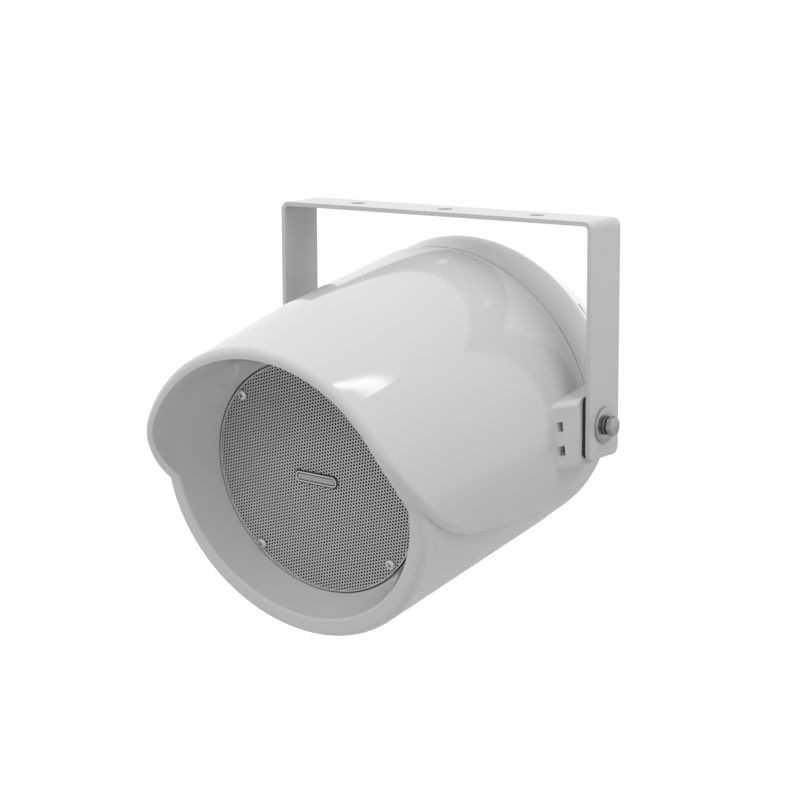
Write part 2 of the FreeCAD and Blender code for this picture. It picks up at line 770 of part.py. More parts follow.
def make_rear_fixing():
    """Make the gasket in the seam and the screws in the cover's wells."""
    gasket = new_body("rear_gasket")
    turned(gasket, [
        ("housing_rear", "rear_opening"),
        ("housing_rear", "rear_opening + gasket_width"),
        (COVER_FRONT, "rear_opening + gasket_width"),
        (COVER_FRONT, "rear_opening"),
    ])
    drill(gasket, COVER_SCREWS, "cover_screw_radius + screw_clearance", "-housing_rear", "seam_gap")
    placed(gasket, "rear_gasket")
    screws = new_body("rear_cover_screws")
    seat = f"-({COVER_FRONT} + cover_wall)"
    studs(screws, COVER_SCREWS, "cover_screw_radius * 2", seat, "cover_screw_head", back=True)
    studs(screws, COVER_SCREWS, "cover_screw_radius", seat, "cover_screw_length")
    placed(screws, "rear_cover_screws")


def make_grille():
    """Punch the round plate with rows of holes, set to a triangle lattice, and with its screw holes."""
    body = new_body("grille")
    turned(body, [
        ("-seat_reach", "0"),
        ("-seat_reach", "grille_radius"),
        ("-grille_back", "grille_radius"),
        ("-grille_back", "0"),
    ])
    drill(body, GRILLE_SCREWS, GRILLE_SCREW_HOLE, "seat_reach", "grille_sheet")
    pitch, rise = value("grille_hole_spacing"), value("grille_hole_spacing") * ROW_RISE
    limit = value("driver_opening - grille_hole_radius")
    rows = int(limit / rise)
    along = next(f for f in body.Origin.OriginFeatures if f.Role == "X_Axis")
    for row in range(-rows, rows + 1):
        half_width = (limit ** 2 - (row * rise) ** 2) ** 0.5
        shift = 0.5 * (row % 2)
        holes = 2 * int(half_width / pitch - shift) + 1 + row % 2
        first = (f"-grille_hole_spacing * {(holes - 1) / 2}", f"grille_hole_spacing * {row * ROW_RISE}")
        hole = drill(body, [first], "grille_hole_radius", "seat_reach", "grille_sheet")
        pattern = body.newObject("PartDesign::LinearPattern", "grille_row")
        pattern.Originals = [hole]
        pattern.Direction = (along, [""])
        pattern.setExpression("Length", sized(f"grille_hole_spacing * {holes - 1}"))
        pattern.Occurrences = holes
        body.Tip = pattern
        doc.recompute()
    placed(body, "grille")


def make_grille_fixing():
    """Make the cloth and gasket behind the grille, its screws, and the plain plate in its middle."""
    cloth = new_body("grille_cloth")
    turned(cloth, [
        ("-grille_back", "0"),
        ("-grille_back", "basket_radius"),
        ("-cloth_back", "basket_radius"),
        ("-cloth_back", "0"),
    ])
    drill(cloth, GRILLE_SCREWS, GRILLE_SCREW_HOLE, "grille_back", "cloth_sheet")
    placed(cloth, "grille_cloth")
    gasket = new_body("front_gasket")
    turned(gasket, [
        ("-cloth_back", "driver_opening"),
        ("-cloth_back", "basket_radius"),
        ("-basket_front", "basket_radius"),
        ("-basket_front", "driver_opening"),
    ])
    drill(gasket, GRILLE_SCREWS, GRILLE_SCREW_HOLE, "cloth_back", "front_gasket")
    placed(gasket, "front_gasket")
    screws = new_body("grille_screws")
    head = studs(screws, GRILLE_SCREWS, "grille_screw_head", "seat_reach", "grille_screw_head_height")
    head_front = value("-seat_reach - grille_screw_head_height")
    rounded(screws, head, "grille_screw_head_round", lambda e: e.BoundBox.YMax < head_front + TOUCH)
    studs(screws, GRILLE_SCREWS, "grille_screw_radius", "seat_reach", "grille_screw_length", back=True)
    placed(screws, "grille_screws")
    badge = new_body("badge_plate")
    plate = new_sketch(badge, "XZ_Plane", "seat_reach")
    end = "badge_corner"
    outline(plate, [
        ("-badge_length / 2", "-badge_height / 2", end),
        ("badge_length / 2", "-badge_height / 2", end),
        ("badge_length / 2", "badge_height / 2", end),
        ("-badge_length / 2", "badge_height / 2", end),
    ])
    raised(badge, plate, "badge_sheet")
    placed(badge, "badge_plate")


def make_basket():
    """Turn the driver's frame and cut its windows and screw holes."""
    body = new_body("driver_basket")
    ledge = "(spider_seat - basket_front)"
    plate = "(basket_depth - basket_front)"
    turned(body, [
        ("-basket_front", "surround_radius"),
        ("-basket_front", "basket_radius"),
        ("-flange_front", "basket_radius"),
        ("-flange_front", "surround_radius + basket_sheet"),
        (f"{ledge} + basket_sheet", "basket_neck + basket_sheet"),
        (f"{ledge} + basket_sheet", "spider_seat_radius + basket_sheet"),
        (f"{plate} + basket_sheet", "spider_seat_radius + basket_sheet"),
        (f"{plate} + basket_sheet", "magnet_bore"),
        (plate, "magnet_bore"),
        (plate, "spider_seat_radius"),
        (ledge, "spider_seat_radius"),
        (ledge, "basket_neck"),
    ])
    drill(body, GRILLE_SCREWS, GRILLE_SCREW_HOLE, "basket_front", "basket_sheet")
    window = new_sketch(body, "YZ_Plane")
    start, end = "driver_flange - basket_front", f"{ledge} - basket_sheet"
    block(window, start, end, "-basket_window", "basket_window")
    around(body, sunk(body, window, "basket_radius", back=True), BASKET_WINDOWS)
    placed(body, "driver_basket")
    tab = new_body("driver_terminal")
    board = new_sketch(tab, "XZ_Plane", f"-({ledge} + basket_sheet)")
    low = "spider_seat_radius + basket_sheet * 2"
    block(board, "-tab_width", "tab_width", low, f"{low} + tab_width")
    raised(tab, board, "basket_sheet", back=True)
    lugs = new_sketch(tab, "XZ_Plane", f"-({ledge} + basket_sheet * 2)")
    for side in (-1, 1):
        middle = f"{side} * tab_width / 2"
        block(lugs, f"{middle} - lug_width / 2", f"{middle} + lug_width / 2", low, f"{low} + lug_length")
    raised(tab, lugs, "lug_sheet", back=True)
    placed(tab, "driver_terminal")


# The cone's front face rises by this much along the axis for each unit of radius
CONE_SLOPE = "(cone_depth / (cone_radius - cone_sheet * 2 - coil_radius))"


def make_diaphragm():
    """Turn the moving pieces, cone, dust cap and voice coil, and the surround and spider that carry them."""
    turned_part("cone", [
        ("-cone_front", "cone_radius"),
        ("cone_sheet - cone_front", "cone_radius"),
        ("cone_depth + cone_sheet - cone_front", "coil_radius + coil_fit + cone_sheet"),
        ("cone_depth + cone_sheet - cone_front", "coil_radius + coil_fit"),
        ("cone_depth - cone_front", "coil_radius + coil_fit"),
        ("-cone_front", "cone_radius - cone_sheet * 2"),
    ])
    base = f"((cone_radius - cone_sheet * 2 - dust_cap_radius) * {CONE_SLOPE} - cone_front)"
    crown = "dust_cap_crown"
    turned_part("dust_cap", [
        (base, "dust_cap_radius"),
        (f"{base} - dust_cap_height", crown, "dust_cap_radius"),
        (f"{base} - dust_cap_height", "0"),
        (f"{base} - dust_cap_height + cone_sheet", "0"),
        (f"{base} - dust_cap_height + cone_sheet", crown, "dust_cap_radius - cone_sheet"),
        (base, "dust_cap_radius - cone_sheet"),
    ])
    coil_front = "(cone_depth - cone_sheet - cone_front)"
    turned_part("voice_coil", [
        (coil_front, "coil_radius - coil_wall"),
        (coil_front, "coil_radius"),
        (f"{coil_front} + coil_length", "coil_radius"),
        (f"{coil_front} + coil_length", "coil_radius - coil_wall"),
    ])
    lip = "-(basket_front + surround_sheet)"
    crest = "-(basket_front + surround_sheet + roll_height)"
    roll_inside = "(surround_radius - roll_width)"
    bend = "roll_bend"
    turned_part("surround", [
        (lip, "surround_radius + surround_lip"),
        (lip, "surround_radius"),
        (crest, "surround_radius", bend),
        (crest, roll_inside, bend),
        (lip, roll_inside),
        (lip, f"{roll_inside} - surround_lip"),
        ("-basket_front", f"{roll_inside} - surround_lip"),
        ("-basket_front", f"{roll_inside} + surround_sheet"),
        (f"{crest} + surround_sheet", f"{roll_inside} + surround_sheet", f"{bend} - surround_sheet"),
        (f"{crest} + surround_sheet", "surround_radius - surround_sheet", f"{bend} - surround_sheet"),
        ("-basket_front", "surround_radius - surround_sheet"),
        ("-basket_front", "surround_radius + surround_lip"),
    ])
    seat = "spider_seat - basket_front"
    span = f"(basket_neck - coil_radius - screw_clearance * 2) / {SPIDER_FOLDS}"
    folds = [
        (f"{seat} - spider_sheet * {k % 2}", f"coil_radius + screw_clearance + {span} * {k}")
        for k in range(SPIDER_FOLDS + 1)
    ]
    turned_part("spider", [(f"{y} - spider_sheet", r) for y, r in folds] + folds[::-1])


def make_motor():
    """Turn the driver's top plate, ring magnet and yoke with its vented pole."""
    front = "(basket_depth + basket_sheet - basket_front)"
    behind_plate = f"({front} + top_plate_sheet)"
    behind_magnet = f"({behind_plate} + magnet_height)"
    turned_part("top_plate", [
        (front, "coil_radius + coil_gap"),
        (front, "top_plate_radius"),
        (behind_plate, "top_plate_radius"),
        (behind_plate, "coil_radius + coil_gap"),
    ])
    turned_part("magnet", [
        (behind_plate, "magnet_bore"),
        (behind_plate, "magnet_radius"),
        (behind_magnet, "magnet_radius"),
        (behind_magnet, "magnet_bore"),
    ])
    pole = "coil_radius - coil_wall - coil_gap"
    turned_part("pole_yoke", [
        (front, "vent_radius"),
        (front, pole),
        (behind_magnet, pole),
        (behind_magnet, "yoke_radius"),
        (f"{behind_magnet} + yoke_sheet", "yoke_radius"),
        (f"{behind_magnet} + yoke_sheet", "vent_radius"),
    ])


def make_transformer():
    """Make the line transformer's core, winding, strap and screws, and the terminal block above it."""
    core_front = f"({CAP_INSIDE} - core_length)"
    core = new_body("transformer_core")
    stack = new_sketch(core, "XY_Plane")
    block(stack, "-core_width / 2", "core_width / 2", core_front, CAP_INSIDE)
    for side in (-1, 1):
        near, far = f"{side} * core_width / 6", f"{side} * core_width / 3"
        left, right = (near, far) if side > 0 else (far, near)
        block(stack, left, right, f"{core_front} + core_width / 6", f"{CAP_INSIDE} - core_width / 6")
    raised(core, stack, "core_stack", symmetric=True)
    placed(core, "transformer_core", COVER_AXIS)
    winding = new_body("transformer_winding")
    coil = new_sketch(winding, "XZ_Plane", f"-({core_front} + core_width / 6 + winding_fit)")
    outer, bend = "(core_width / 3 - winding_fit)", "winding_depth / 2"
    outline(coil, [
        (f"-{outer}", "-(core_stack / 2 + winding_depth)", bend),
        (outer, "-(core_stack / 2 + winding_depth)", bend),
        (outer, "core_stack / 2 + winding_depth", bend),
        (f"-{outer}", "core_stack / 2 + winding_depth", bend),
    ])
    limb, half_stack = "(core_width / 6 + winding_fit)", "(core_stack / 2 + winding_fit)"
    block(coil, f"-{limb}", limb, f"-{half_stack}", half_stack)
    raised(winding, coil, "core_length - core_width / 3 - winding_fit * 2", back=True)
    placed(winding, "transformer_winding", COVER_AXIS)
    strap = new_body("transformer_strap")
    hat = new_sketch(strap, "XY_Plane")
    inner = "core_width / 2"
    foot = f"({POST_END} - strap_sheet)"
    outline(hat, [
        (f"-({inner} + strap_foot)", POST_END),
        (f"-({inner} + strap_foot)", foot),
        (f"-({inner} + strap_sheet)", foot),
        (f"-({inner} + strap_sheet)", f"{core_front} - strap_sheet"),
        (f"{inner} + strap_sheet", f"{core_front} - strap_sheet"),
        (f"{inner} + strap_sheet", foot),
        (f"{inner} + strap_foot", foot),
        (f"{inner} + strap_foot", POST_END),
        (inner, POST_END),
        (inner, core_front),
        (f"-{inner}", core_front),
        (f"-{inner}", POST_END),
    ])
    raised(strap, hat, "strap_width", symmetric=True)
    drill(strap, STRAP_SCREWS, "strap_screw_radius + screw_clearance", f"-{foot}", "strap_sheet")
    placed(strap, "transformer_strap", COVER_AXIS)
    screws = new_body("transformer_screws")
    studs(screws, STRAP_SCREWS, "strap_screw_radius * 2", f"-{foot}", "strap_screw_radius")
    studs(screws, STRAP_SCREWS, "strap_screw_radius", f"-{foot}", "strap_screw_length", back=True)
    placed(screws, "transformer_screws", COVER_AXIS)
    terminals = new_body("terminal_block")
    base = new_sketch(terminals, "XZ_Plane", f"-{CAP_INSIDE}")
    low, high = "terminal_rise - terminal_height / 2", "terminal_rise + terminal_height / 2"
    block(base, "-terminal_width / 2", "terminal_width / 2", low, high)
    raised(terminals, base, "terminal_depth")
    wells = [(f"terminal_width / {TERMINAL_WAYS} * {way}", "terminal_rise") for way in (-1, 0, 1)]
    drill(terminals, wells, "terminal_height / 4", f"terminal_depth - {CAP_INSIDE}", "terminal_depth / 2")
    placed(terminals, "terminal_block", COVER_AXIS)


def make_gland():
    """Make the cable gland about its own axis: body, lock nut inside the cover, seal and clamping nut."""
    rise = f"({COVER_AXIS} - gland_drop)"
    bore = [("0", "0")]
    flange_end = "(cap_reach + gland_flange)"
    neck_end = f"({flange_end} + gland_neck)"
    nut_end = f"({neck_end} + gland_seal_length + gland_nut_wall)"
    body = new_body("gland_body")
    hexagon_pad(body, "gland_hex_width", "-cap_reach", "gland_flange")
    thread_start = f"({CAP_INSIDE} - gland_locknut - gland_clearance)"
    studs(body, bore, "gland_thread_radius", f"-{thread_start}", f"{neck_end} - {thread_start}", back=True)
    drill(body, bore, "gland_bore", None, None)
    placed(body, "gland_body", rise)
    locknut = new_body("gland_locknut")
    hexagon_pad(locknut, "gland_hex_width", f"gland_locknut - {CAP_INSIDE}", "gland_locknut")
    drill(locknut, bore, "gland_thread_radius + gland_clearance", None, None)
    placed(locknut, "gland_locknut", rise)
    seal = new_body("gland_seal")
    studs(seal, bore, "gland_thread_radius - gland_clearance", f"-{neck_end}", "gland_seal_length", back=True)
    drill(seal, bore, "gland_bore", None, None)
    placed(seal, "gland_seal", rise)
    nut = new_body("gland_nut")
    hexagon_pad(nut, "gland_nut_width", f"-({nut_end} - gland_nut_length)", "gland_nut_length")
    drill(nut, bore, "gland_bore + gland_clearance", None, None)
    room = "gland_nut_length - gland_nut_wall"
    drill(nut, bore, "gland_thread_radius + gland_clearance", f"gland_nut_length - {nut_end}", room)
    placed(nut, "gland_nut", rise)


def make_pivots():
    """Make the bolts, washers and inserts of the two pivots, each pair as one sub-part."""
    hole = "bolt_radius + bolt_clearance"
    washer_end = f"({ARM_OUTER} + flat_washer_sheet)"
    head_base = f"({ARM_OUTER} + flat_washer_sheet + spring_washer_sheet)"
    pivot_pair("friction_washers", BOSS_FACE, ARM_INNER, hole, "friction_washer_radius")
    pivot_pair("flat_washers", ARM_OUTER, washer_end, hole, "flat_washer_radius")
    insert_hole, insert_outside = "bolt_radius + insert_fit", "insert_radius - insert_fit"
    pivot_pair("threaded_inserts", f"{BOSS_FACE} - insert_length", BOSS_FACE, insert_hole, insert_outside)
    springs = new_body("spring_washers")
    ring = pivot_ring(springs, washer_end, head_base, hole, "spring_washer_radius")
    split = new_sketch(springs, "YZ_Plane", head_base)
    block(split, "-spring_washer_split / 2", "spring_washer_split / 2", "0", "spring_washer_radius * 2")
    cut = sunk(springs, split, "spring_washer_sheet")
    mirrored(springs, [ring, cut])
    placed(springs, "spring_washers", "0")
    bolts = new_body("pivot_bolts")
    shank = turned(bolts, [
        (f"{BOSS_FACE} - insert_length", "0"),
        (f"{BOSS_FACE} - insert_length", "bolt_radius"),
        (head_base, "bolt_radius"),
        (head_base, "0"),
    ], role="XY_Plane")
    sides = new_sketch(bolts, "YZ_Plane", head_base)
    outline(sides, hexagon("bolt_head_width"))
    head = raised(bolts, sides, "bolt_head_height")
    mirrored(bolts, [shank, head])
    placed(bolts, "pivot_bolts", "0")


def pivot_ring(body, inner_end, outer_end, hole, radius):
    """Turn a ring about the pivot axis, on the right-hand side."""
    section = [(inner_end, hole), (inner_end, radius), (outer_end, radius), (outer_end, hole)]
    return turned(body, section, role="XY_Plane")


def pivot_pair(label, inner_end, outer_end, hole, radius):
    """Turn a ring about the pivot axis and mirror it, as one sub-part."""
    body = new_body(label)
    mirrored(body, [pivot_ring(body, inner_end, outer_end, hole, radius)])
    placed(body, label, "0")


make_bracket()
make_housing()
make_rear_cover()
make_rear_fixing()
make_grille()
make_grille_fixing()
make_basket()
make_diaphragm()
make_motor()
make_transformer()
make_gland()
make_pivots()
doc.recompute()

for item in doc.Objects:
    if "Invalid" in item.State or "Error" in item.State:
        raise RuntimeError(f"{item.Label} failed: {item.State}")
os.makedirs("parts", exist_ok=True)
for subpart in subparts:
    if subpart.Shape.isNull() or not subpart.Shape.isValid():
        raise RuntimeError(f"{subpart.Label} has no valid shape")
for subpart in subparts:
    subpart.Shape.exportStep(f"parts/{subpart.Label}.step")
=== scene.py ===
"""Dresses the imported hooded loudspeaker: its finishes, fine pieces, the studio and the camera.

Lengths are in metres and angles in degrees, where nothing else is said.
"""

import json
import logging
import math
from collections.abc import Callable
from dataclasses import dataclass
from enum import Enum
from typing import Any

import bpy
from mathutils import Matrix, Vector


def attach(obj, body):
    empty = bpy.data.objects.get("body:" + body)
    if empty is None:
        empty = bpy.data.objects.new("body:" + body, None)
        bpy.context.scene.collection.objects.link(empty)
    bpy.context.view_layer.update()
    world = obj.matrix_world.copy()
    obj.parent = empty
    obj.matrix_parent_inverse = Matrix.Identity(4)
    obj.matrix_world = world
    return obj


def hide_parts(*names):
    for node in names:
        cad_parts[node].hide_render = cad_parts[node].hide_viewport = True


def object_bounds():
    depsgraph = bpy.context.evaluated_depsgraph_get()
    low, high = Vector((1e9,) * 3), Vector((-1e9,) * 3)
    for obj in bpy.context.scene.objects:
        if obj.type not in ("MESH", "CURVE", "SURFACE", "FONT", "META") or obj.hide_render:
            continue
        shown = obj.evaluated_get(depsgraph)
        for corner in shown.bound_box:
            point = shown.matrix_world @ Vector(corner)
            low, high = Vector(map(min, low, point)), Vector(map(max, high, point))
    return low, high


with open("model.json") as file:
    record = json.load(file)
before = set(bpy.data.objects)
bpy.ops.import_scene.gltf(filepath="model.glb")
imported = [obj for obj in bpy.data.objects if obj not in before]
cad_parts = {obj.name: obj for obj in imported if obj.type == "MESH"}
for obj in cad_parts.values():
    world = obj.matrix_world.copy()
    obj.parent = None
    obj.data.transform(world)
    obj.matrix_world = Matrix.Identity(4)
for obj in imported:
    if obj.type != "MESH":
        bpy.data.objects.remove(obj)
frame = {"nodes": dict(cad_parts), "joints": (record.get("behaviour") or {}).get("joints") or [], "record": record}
CAD_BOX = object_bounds()
LOG = logging.getLogger("loudspeaker")
MM = 0.001
QUARTER = math.pi / 2  # a quarter turn, in radians
NEARLY = 0.9  # the share of a size that counts as nearly all of it
NEAR = 0.1  # the share of a size within which two places count as one
WHITE = (1.0, 1.0, 1.0, 1.0)
Colour = tuple[float, float, float]


@dataclass(frozen=True)
class SpeakerPlace:
    """Where the speaker's axis and its pivots lie in the bracket, read from the frame's joints."""

    pivot: Vector
    tilt: float  # radians
    rise: float = 1.5 * MM

    @classmethod
    def from_frame(cls) -> "SpeakerPlace":
        """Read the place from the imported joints.

        Returns:
            The pivots' middle and the speaker's tilt.
        """
        joints = {joint["name"]: joint for joint in frame["joints"]}
        forward = joints["cone_travel"]["axis"]
        pivot = Vector(joints["bracket_tilt"]["pos_m"])
        return cls(pivot, math.atan2(-forward[2], -forward[1]))

    def on_pivot(self) -> Matrix:
        """Return the frame of the pivot axis: X along it, Y to the speaker's back."""
        return Matrix.Translation(self.pivot) @ Matrix.Rotation(self.tilt, 4, "X")

    def on_axis(self) -> Matrix:
        """Return the frame of the speaker's axis: Y along it to the back, Z up."""
        return self.on_pivot() @ Matrix.Translation((0, 0, self.rise))

    def facing_front(self, reach: float) -> Matrix:
        """Return a flat piece's frame, a reach before the pivots: its Z to the front, its Y up."""
        plane = self.on_axis() @ Matrix.Translation((0, -reach, 0))
        return plane @ Matrix.Rotation(QUARTER, 4, "X")

    def facing_back(self, reach: float) -> Matrix:
        """Return a flat piece's frame, a reach behind the pivots: its Z to the back, its Y down."""
        plane = self.on_axis() @ Matrix.Translation((0, reach, 0))
        return plane @ Matrix.Rotation(-QUARTER, 4, "X")

    def facing_side(self, side: int, reach: float, upright: bool) -> Matrix:
        """Give the frame of a piece modelled flat, round the pivot axis, facing outwards.

        Args:
            side: 1 for the right-hand pivot, -1 for the left-hand one.
            reach: how far the plane lies from the speaker's middle.
            upright: whether the piece stands as the bracket does and doesn't lean with the speaker.

        Returns:
            The matrix that takes the piece's own Z outwards along the pivot axis.
        """
        base = Matrix.Translation(self.pivot) if upright else self.on_pivot()
        plane = base @ Matrix.Translation((side * reach, 0, 0))
        return plane @ Matrix.Rotation(side * QUARTER, 4, "Y")


PLACE = SpeakerPlace.from_frame()


class Signal:
    """A shader value that adds Math nodes to its tree when it is used in an expression."""

    def __init__(self, tree: "ShaderTree", source: bpy.types.Node, output: Any) -> None:
        """Wrap an output of a node.

        Args:
            tree: the tree that the node is in.
            source: the node.
            output: its output, by name or number.
        """
        self.tree = tree
        self.source = source
        self.output = output

    def feed(self, target: bpy.types.NodeSocket) -> None:
        """Link the value to another node's input."""
        self.tree.tree.links.new(self.source.outputs[self.output], target)

    def _math(self, operation: str, other: Any) -> "Signal":
        """Return the result of a Math node on this value and another, a signal or a number."""
        values = {0: self, 1: other}
        return self.tree.node("ShaderNodeMath", {"operation": operation}, values, "Value")

    def __add__(self, other: Any) -> "Signal":
        """Add."""
        return self._math("ADD", other)

    __radd__ = __add__

    def __mul__(self, other: Any) -> "Signal":
        """Multiply."""
        return self._math("MULTIPLY", other)

    __rmul__ = __mul__


class ShaderTree:
    """The node tree of a material or of the world, with one method that makes nodes."""

    def __init__(self, owner: bpy.types.Material | bpy.types.World) -> None:
        """Start an empty tree.

        Args:
            owner: the material or world that the tree is for.
        """
        owner.use_nodes = True
        self.tree = owner.node_tree
        self.tree.nodes.clear()

    def node(self, kind: str, settings: dict[str, Any], sockets: dict[Any, Any],
             output: Any = 0) -> Signal:
        """Add a node, set it up and link it.

        Args:
            kind: the node's type.
            settings: properties that are set first.
            sockets: numbers, colours or signals for its inputs, by name or number.
            output: the output that is wanted, by name or number.

        Returns:
            That output as a signal.
        """
        made = self.tree.nodes.new(kind)
        for key, setting in settings.items():
            setattr(made, key, setting)
        for key, given in sockets.items():
            if isinstance(given, Signal):
                given.feed(made.inputs[key])
            else:
                made.inputs[key].default_value = given
        return Signal(self, made, output)

    def finish(self, shader: Signal, kind: str = "ShaderNodeOutputMaterial") -> None:
        """Join a shader to the tree's output node."""
        self.node(kind, {}, {"Surface": shader})


class Grain(Enum):
    """The fine pattern that a finish carries."""

    MOULDED = "moulded"
    POWDER = "powder"
    BRUSHED = "brushed"
    WOVEN = "woven"
    LAYERED = "layered"


NOISE_DETAIL = {Grain.BRUSHED: 3.0, Grain.POWDER: 4.0, Grain.MOULDED: 1.5}


def grey(level: float) -> Colour:
    """Return an even grey."""
    return (level, level, level)


@dataclass(frozen=True)
class Finish:
    """A finish of the loudspeaker: a colour with slight mottling, and a fine pattern in relief."""

    name: str
    slot: str
    colour: Colour
    roughness: float
    grain: Grain
    metallic: float = 0.0
    coat: float = 0.0
    coat_roughness: float = 0.05
    shine: float = 0.5
    mottle: float = 0.03
    mottle_size: float = 25 * MM
    mottle_detail: float = 3.0
    grain_size: float = 1.0 * MM
    relief: float = 0.02 * MM
    relief_strength: float = 0.5
    least_rough: float = 0.85
    rough_spread: float = 0.3
    brush_stretch: float = 12.0
    wave_stretch: float = 6.0

    def _wave(self, tree: ShaderTree, place: Signal, axis: str) -> Signal:
        """Return the height of even waves that run across an axis."""
        sockets = {"Vector": place, "Scale": 1 / self.grain_size / self.wave_stretch}
        return tree.node("ShaderNodeTexWave", {"bands_direction": axis}, sockets)

    def _height(self, tree: ShaderTree, place: Signal) -> Signal:
        """Add the pattern's nodes.

        Args:
            tree: the tree that gets the nodes.
            place: the surface's own coordinates.

        Returns:
            The pattern's height, between 0 and 1.
        """
        if self.grain is Grain.WOVEN:
            return 0.5 * self._wave(tree, place, "X") + 0.5 * self._wave(tree, place, "Z")
        if self.grain is Grain.LAYERED:
            return self._wave(tree, place, "Z")
        scale = 1 / self.grain_size
        if self.grain is Grain.BRUSHED:
            stretch = (scale / self.brush_stretch, scale, scale)
            place = tree.node("ShaderNodeMapping", {}, {"Vector": place, "Scale": stretch})
            scale = 1.0
        sockets = {"Vector": place, "Scale": scale, "Detail": NOISE_DETAIL[self.grain]}
        return tree.node("ShaderNodeTexNoise", {}, sockets)

    def _shade(self, change: float) -> tuple[float, ...]:
        """Return the colour, lighter or darker by a share, with full alpha."""
        return (*(min(1.0, channel * (1 + change)) for channel in self.colour), 1.0)

    def build(self) -> bpy.types.Material:
        """Make the finish's material.

        Returns:
            The material.
        """
        material = bpy.data.materials.new(self.name)
        tree = ShaderTree(material)
        place = tree.node("ShaderNodeTexCoord", {}, {}, "Object")
        patches = tree.node("ShaderNodeTexNoise", {}, {
            "Vector": place,
            "Scale": 1 / self.mottle_size,
            "Detail": self.mottle_detail,
        })
        shades = {0: patches, 6: self._shade(-self.mottle), 7: self._shade(self.mottle)}
        relief = tree.node("ShaderNodeBump", {}, {
            "Height": self._height(tree, place),
            "Strength": self.relief_strength,
            "Distance": self.relief,
        })
        tree.finish(tree.node("ShaderNodeBsdfPrincipled", {}, {
            "Base Color": tree.node("ShaderNodeMix", {"data_type": "RGBA"}, shades, 2),
            "Roughness": self.roughness * (self.least_rough + self.rough_spread * patches),
            "Metallic": self.metallic,
            "Specular IOR Level": self.shine,
            "Coat Weight": self.coat,
            "Coat Roughness": self.coat_roughness,
            "Normal": relief,
        }))
        return material


HOUSING_GLOSS = Finish(
    "housing_gloss", "housing_plastic", grey(0.66), 0.42, Grain.MOULDED, coat=1.0, mottle=0.012,
    mottle_size=60 * MM, grain_size=22 * MM, relief=0.4 * MM)
BRACKET_PAINT = Finish(
    "bracket_satin_paint", "bracket_paint", grey(0.60), 0.40, Grain.POWDER, coat=0.7, mottle=0.015,
    grain_size=0.6 * MM, relief=0.015 * MM)
GRILLE_PAINT = Finish(
    "grille_satin_paint", "grille_paint", grey(0.66), 0.38, Grain.POWDER, grain_size=0.5 * MM,
    relief=0.008 * MM)
ZINC = Finish(
    "bright_zinc", "zinc_steel", (0.62, 0.62, 0.61), 0.24, Grain.BRUSHED, metallic=1.0, mottle=0.10,
    mottle_size=4 * MM, grain_size=0.35 * MM, relief=0.01 * MM)
DARK_ZINC = Finish(
    "dark_zinc", "zinc_steel", grey(0.20), 0.16, Grain.BRUSHED, metallic=1.0, mottle=0.30,
    mottle_size=2 * MM, grain_size=0.5 * MM, relief=0.05 * MM)
DULL_ZINC = Finish(
    "dull_zinc", "zinc_steel", grey(0.43), 0.32, Grain.BRUSHED, metallic=1.0, mottle=0.10,
    mottle_size=3 * MM, grain_size=0.3 * MM, relief=0.01 * MM)
BADGE_METAL = Finish(
    "badge_satin_metal", "badge_metal", grey(0.86), 0.30, Grain.BRUSHED, metallic=1.0,
    grain_size=0.2 * MM, relief=0.005 * MM)
# Painted shade: near black on the badge's border and groove floor, for the shadow lines round its rim.
BADGE_SHADE_LINES = Finish(
    "badge_painted_shade", "badge_metal", grey(0.02), 0.5, Grain.POWDER, grain_size=0.3 * MM,
    relief=0.01 * MM)
BADGE_PANEL = Finish(
    "badge_grey_panel", "badge_metal", grey(0.46), 0.42, Grain.BRUSHED, grain_size=0.2 * MM,
    relief=0.005 * MM)
# Black rubber of the friction washers and pads; on the pads its black also stands in for the shade in the slot
# between boss and arm.
WASHER_RUBBER_AND_SLOT_SHADE = Finish(
    "washer_rubber", "washer_rubber", grey(0.02), 0.75, Grain.POWDER, relief=0.03 * MM)
INSERT_BRASS = Finish(
    "insert_brass", "insert_brass", (0.56, 0.40, 0.14), 0.35, Grain.LAYERED, metallic=1.0)
CLOTH = Finish(
    "black_cloth", "cloth", grey(0.012), 0.9, Grain.WOVEN, grain_size=0.6 * MM, relief=0.1 * MM,
    shine=0.05)
FOAM = Finish(
    "gasket_foam", "gasket_foam", grey(0.02), 0.9, Grain.POWDER, grain_size=0.8 * MM,
    relief=0.1 * MM)
BASKET_PAINT = Finish("basket_black_paint", "basket_paint", grey(0.02), 0.45, Grain.POWDER)
CONE_PAPER = Finish(
    "cone_paper", "cone_paper", grey(0.03), 0.85, Grain.POWDER, grain_size=1.5 * MM,
    relief=0.06 * MM)
SURROUND_RUBBER = Finish("surround_rubber", "surround_rubber", grey(0.015), 0.6, Grain.MOULDED)
SPIDER_CLOTH = Finish(
    "spider_cloth", "spider_cloth", (0.42, 0.25, 0.07), 0.85, Grain.WOVEN, relief=0.08 * MM)
COPPER = Finish(
    "copper_wire", "copper", (0.55, 0.24, 0.09), 0.35, Grain.LAYERED, metallic=1.0,
    grain_size=0.4 * MM, relief=0.08 * MM)
FERRITE = Finish(
    "ferrite", "ferrite", (0.03, 0.03, 0.032), 0.55, Grain.POWDER, relief=0.04 * MM)
CORE_STEEL = Finish(
    "core_steel", "core_steel", (0.28, 0.28, 0.29), 0.45, Grain.LAYERED, metallic=1.0,
    grain_size=0.5 * MM, relief=0.04 * MM)
TERMINAL_PLASTIC = Finish(
    "terminal_plastic", "terminal_plastic", (0.03, 0.03, 0.032), 0.5, Grain.MOULDED)
GLAND_PLASTIC = Finish(
    "gland_plastic", "gland_plastic", (0.42, 0.425, 0.43), 0.45, Grain.MOULDED, relief=0.03 * MM)
SEAL_RUBBER = Finish("seal_rubber", "seal_rubber", grey(0.02), 0.7, Grain.MOULDED)
